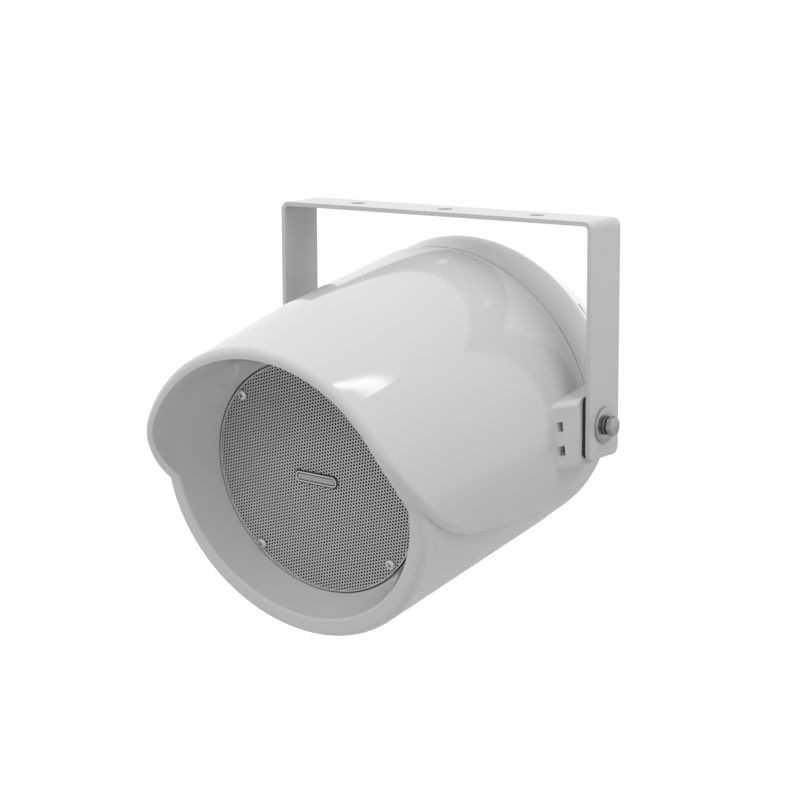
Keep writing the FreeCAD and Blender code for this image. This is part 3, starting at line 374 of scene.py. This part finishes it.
SLOT_FINISHES = [
    HOUSING_GLOSS, BRACKET_PAINT, GRILLE_PAINT, ZINC, BADGE_METAL, WASHER_RUBBER_AND_SLOT_SHADE, INSERT_BRASS,
    CLOTH, FOAM, BASKET_PAINT, CONE_PAPER, SURROUND_RUBBER, SPIDER_CLOTH, COPPER, FERRITE,
    CORE_STEEL, TERMINAL_PLASTIC, GLAND_PLASTIC, SEAL_RUBBER,
]
FINE_FINISHES = [DARK_ZINC, DULL_ZINC, BADGE_SHADE_LINES, BADGE_PANEL]


class Wardrobe:
    """The finishes' materials, each made once, and their places on the frame's nodes."""

    def __init__(self) -> None:
        """Make the materials."""
        finishes = [*SLOT_FINISHES, *FINE_FINISHES]
        self.materials = {finish.name: finish.build() for finish in finishes}
        self.by_slot = {finish.slot: finish for finish in SLOT_FINISHES}

    def dress(self, piece: bpy.types.Object, *finishes: Finish) -> None:
        """Give a piece its finishes.

        Args:
            piece: the piece.
            finishes: one finish for each of its material slots.
        """
        piece.data.materials.clear()
        for finish in finishes:
            piece.data.materials.append(self.materials[finish.name])

    def dress_nodes(self) -> None:
        """Give every node of the frame the finish of its record's slot."""
        for part in frame["record"]["subparts"]:
            self.dress(frame["nodes"][part["node"]], self.by_slot[part["material_slot"]])


class Pick(Enum):
    """What a selection in edit mode is made of."""

    FACE = "FACE"
    EDGE = "EDGE"
    VERTEX = "VERT"


class Keep(Enum):
    """What is kept of a piece that another one overlaps."""

    OUTSIDE = "DIFFERENCE"
    SHARED = "INTERSECT"


def everything(middle: Vector, normal: Vector) -> bool:
    """Pick all there is."""
    return True


def facing_up(middle: Vector, normal: Vector) -> bool:
    """Pick what looks along Z."""
    return normal.z > NEARLY


def facing_down(middle: Vector, normal: Vector) -> bool:
    """Pick what looks against Z."""
    return normal.z < -NEARLY


def flat_radius(point: Vector) -> float:
    """Return a point's distance from the Z axis."""
    return math.hypot(point.x, point.y)


class Bench:
    """A piece on the bench: a primitive, shaped by edit mode and modifiers and set in place."""

    def __init__(self, name: str, add: Callable[..., set[str]], **settings: Any) -> None:
        """Start a piece from a primitive, with its place in its mesh.

        Args:
            name: the piece's name.
            add: the operator that adds the primitive.
            settings: the operator's settings.
        """
        bpy.ops.object.select_all(action="DESELECT")
        add(**settings)
        self.piece = bpy.context.object
        self.piece.name = name
        self.piece.data.name = name
        bpy.ops.object.transform_apply(location=True, rotation=True, scale=True)

    def _take(self, *others: bpy.types.Object) -> None:
        """Select this piece and any others, and nothing else, with this one active.

        Args:
            others: the other objects.
        """
        bpy.ops.object.select_all(action="DESELECT")
        for taken in [*others, self.piece]:
            taken.select_set(True)
        bpy.context.view_layer.objects.active = self.piece

    def pick(self, kind: Pick, test: Callable[[Vector, Vector], bool]) -> "Bench":
        """Select faces, edges or vertices in edit mode and stay there.

        Args:
            kind: what is selected.
            test: told each one's middle and normal, says whether it is wanted.

        Returns:
            The bench itself.
        """
        bpy.context.view_layer.objects.active = self.piece
        bpy.ops.object.mode_set(mode="EDIT")
        bpy.ops.mesh.select_mode(type=kind.value)
        bpy.ops.mesh.select_all(action="DESELECT")
        bpy.ops.object.mode_set(mode="OBJECT")
        mesh = self.piece.data
        up = Vector((0, 0, 1))
        if kind is Pick.FACE:
            for face in mesh.polygons:
                face.select = test(face.center, face.normal)
        elif kind is Pick.EDGE:
            for edge in mesh.edges:
                ends = [mesh.vertices[index].co for index in edge.vertices]
                edge.select = test((ends[0] + ends[1]) / 2, up)
        else:
            for vertex in mesh.vertices:
                vertex.select = test(vertex.co, vertex.normal)
        bpy.ops.object.mode_set(mode="EDIT")
        return self

    def extrude(self, height: float) -> "Bench":
        """Extrude the selection along Z."""
        bpy.ops.mesh.extrude_region_move(TRANSFORM_OT_translate={"value": (0, 0, height)})
        return self

    def close(self) -> "Bench":
        """Leave edit mode."""
        bpy.ops.object.mode_set(mode="OBJECT")
        return self

    def modify(self, kind: str, **settings: Any) -> "Bench":
        """Add a modifier and apply it.

        Args:
            kind: the modifier's type.
            settings: its properties.

        Returns:
            The bench itself.
        """
        self._take()
        modifier = self.piece.modifiers.new(kind.lower(), kind)
        for key, setting in settings.items():
            setattr(modifier, key, setting)
        bpy.ops.object.modifier_apply(modifier=modifier.name)
        return self

    def combine(self, keep: Keep, other: "Bench") -> "Bench":
        """Trim this piece by another and delete the other.

        Args:
            keep: what is kept of this piece.
            other: the other piece.

        Returns:
            The bench itself.
        """
        self.modify("BOOLEAN", operation=keep.value, solver="EXACT", object=other.piece)
        bpy.data.objects.remove(other.piece)
        return self

    def settle(self, place: Matrix) -> "Bench":
        """Move the mesh to a place and leave the object at the origin.

        Args:
            place: the place.

        Returns:
            The bench itself.
        """
        self._take()
        self.piece.matrix_world = place
        bpy.ops.object.transform_apply(location=True, rotation=True, scale=True)
        return self

    def smooth(self, angle: float = 35.0) -> "Bench":
        """Shade the piece smooth.

        Args:
            angle: edges flatter than this, in degrees, are smooth.

        Returns:
            The bench itself.
        """
        self._take()
        bpy.ops.object.shade_smooth_by_angle(angle=math.radians(angle))
        return self

    def copies(self, places: list[Matrix]) -> "Bench":
        """Set copies of the piece in several places and join them as one.

        Args:
            places: where the copies go.

        Returns:
            The bench, holding the joined copies.
        """
        copies = []
        for place in places:
            copy = self.piece.copy()
            copy.data = self.piece.data.copy()
            bpy.context.scene.collection.objects.link(copy)
            copy.matrix_world = place
            copies.append(copy)
        name = self.piece.name
        bpy.data.objects.remove(self.piece)
        self.piece = copies[0]
        self.piece.name = name
        return self.joined_with(copies[1:])

    def joined_with(self, others: list[bpy.types.Object]) -> "Bench":
        """Join other objects into this piece, with their places in its mesh.

        Args:
            others: the other objects.

        Returns:
            The bench itself.
        """
        self._take(*others)
        bpy.ops.object.transform_apply(location=True, rotation=True, scale=True)
        bpy.ops.object.join()
        return self

    def hand_over(self, body: str, slot: str, *nodes: str) -> None:
        """Let the piece ride on a body in place of nodes of the frame.

        Args:
            body: the body's name.
            slot: the record's material slot; it is not used.
            nodes: the nodes that it replaces.
        """
        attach(self.piece, body)
        if nodes:
            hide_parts(*nodes)
        LOG.info("%s: %d faces", self.piece.name, len(self.piece.data.polygons))


@dataclass
class Grille:
    """The perforated plate: small round holes on a triangle lattice, cut off at a narrow rim."""

    radius: float = 66.0 * MM
    reach: float = 127.0 * MM
    sheet: float = 1.2 * MM
    land: float = 0.25 * MM
    spacing: float = 2.0 * MM
    weld: float = 0.02 * MM
    hole_radius: float = 0.76 * MM
    hole_sides: int = 12
    lattice_turn: float = -12.6
    rim_width: float = 0.7 * MM
    rim_lift: float = 0.01 * MM
    rim_sides: int = 128

    def build(self, wardrobe: Wardrobe) -> None:
        """Make the plate, dress it and put it in the node's place.

        Args:
            wardrobe: the finishes.
        """
        field = self._field()
        rim = self._rim()
        field.joined_with([rim.piece]).settle(PLACE.facing_front(self.reach))
        wardrobe.dress(field.piece, GRILLE_PAINT)
        field.hand_over("speaker", GRILLE_PAINT.slot, "grille")

    def _cell(self) -> Bench:
        """Model one six-sided cell of the lattice with its hole.

        Returns:
            The bench with the cell, its middle at the origin.
        """
        corner = self.spacing / math.sqrt(3)
        cell = Bench("perforated_grille", bpy.ops.mesh.primitive_circle_add,
                     vertices=self.hole_sides, radius=corner, fill_type="NGON")
        edge_slope = math.cos(math.pi / self.hole_sides)
        cell.pick(Pick.FACE, everything)
        bpy.ops.mesh.inset(thickness=(corner - self.hole_radius) * edge_slope)
        cell.extrude(-self.land)
        bpy.ops.mesh.delete(type="FACE")
        halfway = (corner + self.hole_radius) / 2

        def on_side(point: Vector, normal: Vector) -> bool:
            """Pick the outer points that lie in the middle of the cell's sides."""
            turn = math.atan2(point.y, point.x)
            return flat_radius(point) > halfway and math.cos(6 * turn) < 0

        cell.pick(Pick.VERTEX, on_side)
        inset = math.cos(math.pi / 6)
        bpy.ops.transform.resize(value=(inset, inset, 1), center_override=(0, 0, 0))
        return cell.close()

    def _field(self) -> Bench:
        """Repeat the cell over the plate and trim the lattice to its round.

        Returns:
            The bench with the lattice.
        """
        cell = self._cell()
        column = self.spacing * math.sqrt(3)
        across = math.ceil(2 * self.radius / column) + 1
        along = math.ceil(2 * self.radius / self.spacing) + 1
        for count, step in (
            (2, (column / 2, self.spacing / 2, 0)),
            (along, (0, self.spacing, 0)),
            (across, (column, 0, 0)),
        ):
            cell.modify("ARRAY", count=count, use_relative_offset=False, use_constant_offset=True,
                        constant_offset_displace=step)
        half = (-column * (across - 0.5) / 2, -self.spacing * (along - 0.5) / 2, 0)
        turn = Matrix.Rotation(math.radians(self.lattice_turn), 4, "Z")
        cell.settle(turn @ Matrix.Translation(half))
        limit = self.radius - self.rim_width / 2
        cell.pick(Pick.FACE, lambda middle, normal: flat_radius(middle) > limit)
        bpy.ops.mesh.delete(type="FACE")
        bpy.ops.mesh.select_all(action="SELECT")
        bpy.ops.mesh.remove_doubles(threshold=self.weld)
        return cell.close()

    def _rim(self) -> Bench:
        """Model the narrow ring round the lattice, with the plate's outer wall.

        Returns:
            The bench with the ring.
        """
        rim = Bench("grille_rim", bpy.ops.mesh.primitive_circle_add, vertices=self.rim_sides,
                    radius=self.radius, fill_type="NGON", location=(0, 0, self.rim_lift))
        rim.pick(Pick.FACE, everything)
        bpy.ops.mesh.inset(thickness=self.rim_width)
        bpy.ops.mesh.delete(type="FACE")
        near_edge = self.radius - self.rim_width / 2
        rim.pick(Pick.EDGE, lambda middle, normal: flat_radius(middle) > near_edge)
        rim.extrude(-self.sheet)
        return rim.close()


@dataclass
class PanScrews:
    """Four pan-head screws with a cross recess, all alike, on a circle about the speaker's axis.

    The recess's sizes are shares of the head's radius and height.
    """

    name: str
    node: str
    finish: Finish
    head_radius: float
    head_height: float
    shank_radius: float
    length: float
    crown: float
    circle: float
    angle: float
    turns: tuple[float, ...]
    sides: int = 40
    crown_steps: int = 5
    recess_width: float = 0.26
    recess_length: float = 1.1
    recess_depth: float = 0.6
    recess_taper: tuple[float, float, float] = (0.55, 0.6, 1)

    def build(self, wardrobe: Wardrobe, face: Matrix) -> None:
        """Make a screw, copy it to its places and put the set in the node's place.

        Args:
            wardrobe: the finishes.
            face: the plane that the screws sit on.
        """
        screw = self._screw().copies(self._places(face))
        wardrobe.dress(screw.piece, self.finish)
        screw.smooth().hand_over("speaker", self.finish.slot, self.node)

    def _places(self, face: Matrix) -> list[Matrix]:
        """Lay out the screws above and below the level, on both sides.

        Args:
            face: the plane that they sit on.

        Returns:
            One matrix for each screw.
        """
        lift = math.radians(self.angle)
        across, up = self.circle * math.cos(lift), self.circle * math.sin(lift)
        corners = [(side * across, level * up, 0) for side in (-1, 1) for level in (-1, 1)]
        return [
            face @ Matrix.Translation(corner) @ Matrix.Rotation(math.radians(turn), 4, "Z")
            for corner, turn in zip(corners, self.turns)
        ]

    def _screw(self) -> Bench:
        """Model one screw.

        Returns:
            The bench with the screw, its seat at the origin and its head up.
        """
        head = Bench(self.name, bpy.ops.mesh.primitive_cylinder_add, vertices=self.sides,
                     radius=self.head_radius, depth=self.head_height,
                     location=(0, 0, self.head_height / 2))
        top, outside = self.head_height * NEARLY, self.head_radius * NEARLY
        head.pick(Pick.EDGE, lambda middle, normal:
                  middle.z > top and flat_radius(middle) > outside)
        bpy.ops.mesh.bevel(offset=self.crown, segments=self.crown_steps, profile=0.5)
        head.pick(Pick.FACE, facing_down)
        bpy.ops.mesh.inset(thickness=self.head_radius - self.shank_radius)
        head.extrude(-self.length)
        head.close()
        for turn in (0.0, QUARTER):
            head.combine(Keep.OUTSIDE, self._recess_arm(turn))
        return head

    def _recess_arm(self, turn: float) -> Bench:
        """Model one arm of the cross recess, tapered to its tip, as a cutter.

        Args:
            turn: the arm's turn about the screw's axis.

        Returns:
            The bench with the cutter.
        """
        long, wide = self.head_radius * self.recess_length, self.head_radius * self.recess_width
        tall = self.head_height * self.recess_depth * 2
        top = (0, 0, self.head_height)
        arm = Bench("recess_arm", bpy.ops.mesh.primitive_cube_add, size=1)
        arm.settle(Matrix.Translation(top) @ Matrix.Diagonal((long, wide, tall, 1)))
        arm.pick(Pick.FACE, facing_down)
        bpy.ops.transform.resize(value=self.recess_taper, center_override=top)
        arm.close()
        return arm.settle(Matrix.Rotation(turn, 4, "Z"))


@dataclass
class Badge:
    """The small oblong plate in the grille's middle: a near-black edge and groove painted as the shadow lines
    round its rim, a bright rim and a bare panel.
    """

    length: float = 28.6 * MM
    height: float = 7.4 * MM
    corner: float = 3.4 * MM
    corner_steps: int = 10
    sheet: float = 1.0 * MM
    reach: float = 127.0 * MM
    # The border and the groove between rim and panel are painted near black as shade.
    border: float = 0.8 * MM
    rim: float = 0.6 * MM
    groove: float = 0.75 * MM
    step: float = 0.4 * MM
    lean: float = -3.0
    finishes: tuple[Finish, ...] = (BADGE_METAL, BADGE_SHADE_LINES, BADGE_PANEL)

    def build(self, wardrobe: Wardrobe) -> None:
        """Make the plate, dress its border, rim and panel, and put it in the node's place.

        Args:
            wardrobe: the finishes.
        """
        low = self.sheet - self.step
        size = (self.length, self.height, low, 1)
        plate = Bench("plain_badge", bpy.ops.mesh.primitive_cube_add, size=1)
        plate.settle(Matrix.Translation((0, 0, low / 2)) @ Matrix.Diagonal(size))
        plate.pick(Pick.EDGE, lambda middle, normal: abs(middle.z - low / 2) < low * NEAR)
        bpy.ops.mesh.bevel(offset=self.corner, segments=self.corner_steps)
        plate.pick(Pick.FACE, facing_up)
        for inset, height in (
            (self.border, self.step), (self.rim, -self.step), (self.groove, self.step / 2),
        ):
            bpy.ops.mesh.inset(thickness=inset)
            plate.extrude(height)
        plate.close()
        wardrobe.dress(plate.piece, *self.finishes)
        # Painted shade: the lowest faces, the border and the groove's floor, get the near-black finish.
        for face in plate.piece.data.polygons:
            face.material_index = self.finishes.index(self._finish_at(face.center.z - low))
        lean = Matrix.Rotation(math.radians(self.lean), 4, "Z")
        plate.smooth().settle(PLACE.facing_front(self.reach) @ lean)
        plate.hand_over("speaker", BADGE_METAL.slot, "badge_plate")

    def _finish_at(self, height: float) -> Finish:
        """Choose a face's finish.

        Args:
            height: the height of the face's middle over the floor, which is painted near black as shade.

        Returns:
            The painted shade of the floor and edge, or the finish of the panel's top or of the rim.
        """
        near = self.step * NEAR
        if height < near:
            return BADGE_SHADE_LINES
        return BADGE_PANEL if abs(height - self.step / 2) < near else BADGE_METAL


@dataclass
class PivotSet:
    """The fasteners at each arm: a black pad inside it, large enough to fill the slot between boss and arm and so
    stand in for the slot's shade as well, and two washers and a bolt outside.
    """

    arm_reach: float = 106.3 * MM
    arm_sheet: float = 2.5 * MM
    # The pad is about as big as the boss's side, so that it fills the shaded slot with black: partly real rubber,
    # partly painted shade.
    pad_sheet: float = 2.2 * MM
    pad_height: float = 34.0 * MM
    pad_depth: float = 31.0 * MM
    pad_corner: float = 3.0 * MM
    pad_back: float = 15.4 * MM
    pad_steps: int = 12
    washer_radius: float = 10.2 * MM
    washer_sheet: float = 1.4 * MM
    washer_sides: int = 72
    spring_radius: float = 5.4 * MM
    spring_sheet: float = 1.8 * MM
    spring_sides: int = 48
    slit_width: float = 1.0 * MM
    slit_lean: float = 0.35  # radians
    hole_radius: float = 3.3 * MM
    cutter_length: float = 4.0  # in thicknesses of what it cuts
    edge_share: float = 0.16
    edge_angle: float = 50.0
    edge_steps: int = 2
    bolt_radius: float = 3.0 * MM
    bolt_length: float = 18.8 * MM
    head_width: float = 10.0 * MM
    head_height: float = 4.2 * MM
    chamfer_angle: float = 30.0
    chamfer_tip: float = 0.48
    chamfer_sides: int = 64

    def build(self, wardrobe: Wardrobe) -> None:
        """Make the pads, washers and bolts of both sides and put them in the nodes' places.

        Args:
            wardrobe: the finishes.
        """
        pad_seat = self.arm_reach - self.arm_sheet - self.pad_sheet
        spring_seat = self.arm_reach + self.washer_sheet
        head_seat = spring_seat + self.spring_sheet
        washer = self._ring("plain_washers", self.washer_radius, self.washer_sheet,
                            self.washer_sides)
        for bench, seat, node, finish, upright in (
            (washer, self.arm_reach, "flat_washers", DULL_ZINC, False),
            (self._spring(), spring_seat, "spring_washers", DARK_ZINC, False),
            (self._bolt(), head_seat, "pivot_bolts", DULL_ZINC, False),
            # Painted shade, in part: the black pads fill the slot between boss and arm.
            (self._pad(), pad_seat, "friction_washers", WASHER_RUBBER_AND_SLOT_SHADE, True),
        ):
            bench.copies([PLACE.facing_side(side, seat, upright) for side in (1, -1)])
            wardrobe.dress(bench.piece, finish)
            bench.smooth().hand_over("speaker", finish.slot, node)

    def _pad(self) -> Bench:
        """Model the black rubber pad between boss and arm, straight in front and round behind; it is made as large
        as the slot, so that its black is partly real rubber and partly painted shade for the slot.

        Returns:
            The bench with the pad, its back at the origin.
        """
        half = self.pad_sheet / 2
        size = (self.pad_height, self.pad_depth, self.pad_sheet, 1)
        pad = Bench("friction_pads_and_slot_shade", bpy.ops.mesh.primitive_cube_add, size=1)
        pad.settle(Matrix.Translation((0, 0, half)) @ Matrix.Diagonal(size))
        for way, corner in ((-1, self.pad_corner), (1, self.pad_back)):
            pad.pick(Pick.EDGE, lambda middle, normal:
                     abs(middle.z - half) < half * NEAR and middle.y * way > 0)
            bpy.ops.mesh.bevel(offset=corner, segments=self.pad_steps)
        pad.close()
        hole = Bench("pad_hole", bpy.ops.mesh.primitive_cylinder_add, vertices=self.spring_sides,
                     radius=self.hole_radius, depth=self.pad_sheet * self.cutter_length)
        return pad.combine(Keep.OUTSIDE, hole)

    def _spring(self) -> Bench:
        """Model the spring washer with its slanting slit.

        Returns:
            The bench with the washer, its back at the origin.
        """
        spring = self._ring("split_washers", self.spring_radius, self.spring_sheet,
                            self.spring_sides)
        tall = self.spring_sheet * self.cutter_length
        size = (self.slit_width, self.spring_radius * 2, tall, 1)
        slit = Bench("slit", bpy.ops.mesh.primitive_cube_add, size=1)
        slit.settle(Matrix.Rotation(self.slit_lean, 4, "X") @ Matrix.Diagonal(size))
        slit.settle(Matrix.Translation((0, self.spring_radius, self.spring_sheet / 2)))
        return spring.combine(Keep.OUTSIDE, slit)

    def _ring(self, name: str, radius: float, sheet: float, sides: int) -> Bench:
        """Model a flat ring with softened edges.

        Args:
            name: the piece's name.
            radius: its outer radius.
            sheet: its thickness.
            sides: how many sides its round has.

        Returns:
            The bench with the ring, its back at the origin.
        """
        ring = Bench(name, bpy.ops.mesh.primitive_circle_add, vertices=sides, radius=radius,
                     fill_type="NGON")
        ring.pick(Pick.FACE, everything)
        bpy.ops.mesh.inset(thickness=radius - self.hole_radius)
        bpy.ops.mesh.delete(type="FACE")
        ring.close()
        ring.modify("SOLIDIFY", thickness=sheet, offset=1.0)
        return ring.modify("BEVEL", width=sheet * self.edge_share, segments=self.edge_steps,
                           limit_method="ANGLE", angle_limit=math.radians(self.edge_angle))

    def _bolt(self) -> Bench:
        """Model a hexagon bolt with its head chamfered round.

        Returns:
            The bench with the bolt, its seat at the origin and its head up.
        """
        bolt = Bench("hexagon_bolts", bpy.ops.mesh.primitive_cylinder_add, vertices=6,
                     depth=self.head_height, radius=self.head_width / math.sqrt(3),
                     location=(0, 0, self.head_height / 2))
        tip = self.head_width * self.chamfer_tip
        tall = (self.head_width - tip) * math.tan(math.radians(self.chamfer_angle))
        cone = Bench("chamfer", bpy.ops.mesh.primitive_cone_add, vertices=self.chamfer_sides,
                     radius1=self.head_width, radius2=tip, depth=tall,
                     location=(0, 0, self.head_height - tall / 2))
        bolt.combine(Keep.SHARED, cone)
        bolt.pick(Pick.FACE, facing_down)
        bpy.ops.mesh.inset(thickness=self.head_width / 2 - self.bolt_radius)
        bolt.extrude(-self.bolt_length)
        return bolt.close()


@dataclass(frozen=True)
class Softbox:
    """A soft lamp: its power is in watts, and glossy faces mirror it only where that is wanted."""

    name: str
    place: tuple[float, float, float]
    width: float
    height: float
    power: float
    spin: float = 0.0
    mirrored: bool = False

    def hang(self, target: Vector) -> None:
        """Hang the lamp.

        Args:
            target: the point that it shines at.
        """
        data = bpy.data.lights.new(self.name, "AREA")
        data.shape = "RECTANGLE"
        data.size, data.size_y = self.width, self.height
        data.energy = self.power
        lamp = bpy.data.objects.new(self.name, data)
        bpy.context.scene.collection.objects.link(lamp)
        lamp.visible_glossy = self.mirrored
        facing = (target - Vector(self.place)).to_track_quat("-Z", "Y").to_matrix().to_4x4()
        spin = Matrix.Rotation(math.radians(self.spin), 4, "Z")
        lamp.matrix_world = Matrix.Translation(self.place) @ facing @ spin


SOFTBOXES = [
    Softbox("overhead", (0.0, -0.1, 1.9), width=2.2, height=2.2, power=13.0),
    Softbox("rear_strip", (0.496, 0.828, 1.3565), width=0.49, height=0.025, power=0.24, spin=45.5,
            mirrored=True),
    Softbox("front_left", (-1.1, -1.6, 0.9), width=1.2, height=1.2, power=6.4),
    Softbox("front_high", (0.3, -1.8, 1.5), width=1.4, height=1.0, power=9.4),
    Softbox("right_high", (1.6, 0.1, 1.3), width=1.2, height=1.2, power=12.0),
]


@dataclass
class Studio:
    """The white studio: floor, soft lamps and the camera at the photograph's place."""

    focal_length: float = 110.34
    sensor_width: float = 36.0
    sight: float = 100.0
    azimuth: float = 34.94
    pitch: float = 10.39
    roll: float = -0.229
    distance: float = 1.4445
    target: tuple[float, float, float] = (-0.0322, 0.0, -0.1146)
    floor_drop: float = 0.52
    floor_size: float = 12.0
    floor_pale: float = 0.8
    floor_glow: float = 0.7
    floor_fade: tuple[float, float] = (1.0, 5.5)
    world_strength: float = 0.38
    white_rays: tuple[str, ...] = ("Camera", "Glossy", "Transmission")

    def build(self) -> None:
        """Set up the picture's light, floor and camera."""
        bpy.context.scene.view_settings.view_transform = "Standard"
        self._world()
        self._floor()
        for softbox in SOFTBOXES:
            softbox.hang(Vector(self.target))
        self._camera()

    def _ray(self, tree: ShaderTree, kind: str) -> Signal:
        """Return 1 for rays of a kind, else 0."""
        return tree.node("ShaderNodeLightPath", {}, {}, f"Is {kind} Ray")

    def _world(self) -> None:
        """Light the scene evenly, and show the camera and the reflections plain white."""
        world = bpy.data.worlds.new("studio_white")
        bpy.context.scene.world = world
        tree = ShaderTree(world)
        soft, full = (
            tree.node("ShaderNodeBackground", {}, {"Color": WHITE, "Strength": strength})
            for strength in (self.world_strength, 1.0)
        )
        shown = sum(self._ray(tree, kind) for kind in self.white_rays)
        mix = tree.node("ShaderNodeMixShader", {}, {0: shown, 1: soft, 2: full})
        tree.finish(mix, "ShaderNodeOutputWorld")

    def _floor(self) -> None:
        """Lay a pale floor well below the hung speaker.

        It is white to the camera and, far out, to the reflections, and keeps its shadows.
        """
        low = CAD_BOX[0].z
        floor = Bench("studio_floor", bpy.ops.mesh.primitive_plane_add, size=self.floor_size)
        floor.settle(Matrix.Translation((0, 0, low - self.floor_drop)))
        material = bpy.data.materials.new("pale_floor")
        tree = ShaderTree(material)
        pale = tree.node("ShaderNodeBsdfDiffuse", {}, {"Color": (*grey(self.floor_pale), 1)})
        glow = tree.node("ShaderNodeEmission", {}, {"Color": WHITE, "Strength": self.floor_glow})
        lit = tree.node("ShaderNodeAddShader", {}, {0: pale, 1: glow})
        place = tree.node("ShaderNodeTexCoord", {}, {}, "Object")
        out = tree.node("ShaderNodeVectorMath", {"operation": "LENGTH"}, {0: place}, "Value")
        near, far = self.floor_fade
        fade = tree.node("ShaderNodeMapRange", {"interpolation_type": "SMOOTHSTEP"},
                         {"Value": out, "From Min": near, "From Max": far})
        shown = self._ray(tree, "Camera") + self._ray(tree, "Glossy") * fade
        tree.finish(tree.node("ShaderNodeMixShader", {}, {0: shown, 1: pale, 2: lit}))
        floor.piece.data.materials.append(material)

    def _camera(self) -> None:
        """Stand the camera where the photograph was taken from."""
        data = bpy.data.cameras.new("photo_camera")
        data.sensor_width = self.sensor_width
        data.lens = self.focal_length
        data.clip_end = self.sight
        camera = bpy.data.objects.new("photo_camera", data)
        bpy.context.scene.collection.objects.link(camera)
        turn, lift, lean = (math.radians(each) for each in (self.azimuth, self.pitch, self.roll))
        level = math.cos(lift)
        back = Vector((math.sin(turn) * level, -math.cos(turn) * level, math.sin(lift)))
        right = Vector((math.cos(turn), math.sin(turn), 0))
        up = back.cross(right)
        leaning_right = right * math.cos(lean) + up * math.sin(lean)
        leaning_up = up * math.cos(lean) - right * math.sin(lean)
        facing = Matrix((leaning_right, leaning_up, back)).transposed().to_4x4()
        stand = Matrix.Translation(Vector(self.target) + back * self.distance)
        camera.matrix_world = stand @ facing
        bpy.context.scene.camera = camera


GRILLE_SCREWS = PanScrews(
    "grille_pan_screws", "grille_screws", ZINC, head_radius=3.1 * MM, head_height=2.0 * MM,
    shank_radius=1.9 * MM, length=20 * MM, crown=1.1 * MM, circle=62 * MM, angle=45,
    turns=(20, 65, 40, 5))
COVER_SCREWS = PanScrews(
    "cover_pan_screws", "rear_cover_screws", DULL_ZINC, head_radius=4.0 * MM, head_height=2.6 * MM,
    shank_radius=2.0 * MM, length=16 * MM, crown=1.2 * MM, circle=80 * MM, angle=35,
    turns=(10, 75, 50, 30))
COVER_SCREW_REACH = 14.5 * MM


def main() -> None:
    """Build and dress the loudspeaker, piece by piece."""
    logging.basicConfig(level=logging.INFO)
    wardrobe = Wardrobe()
    wardrobe.dress_nodes()
    grille = Grille()
    grille.build(wardrobe)
    Badge().build(wardrobe)
    GRILLE_SCREWS.build(wardrobe, PLACE.facing_front(grille.reach))
    COVER_SCREWS.build(wardrobe, PLACE.facing_back(COVER_SCREW_REACH))
    PivotSet().build(wardrobe)
    Studio().build()


if __name__ == "__main__":
    main()
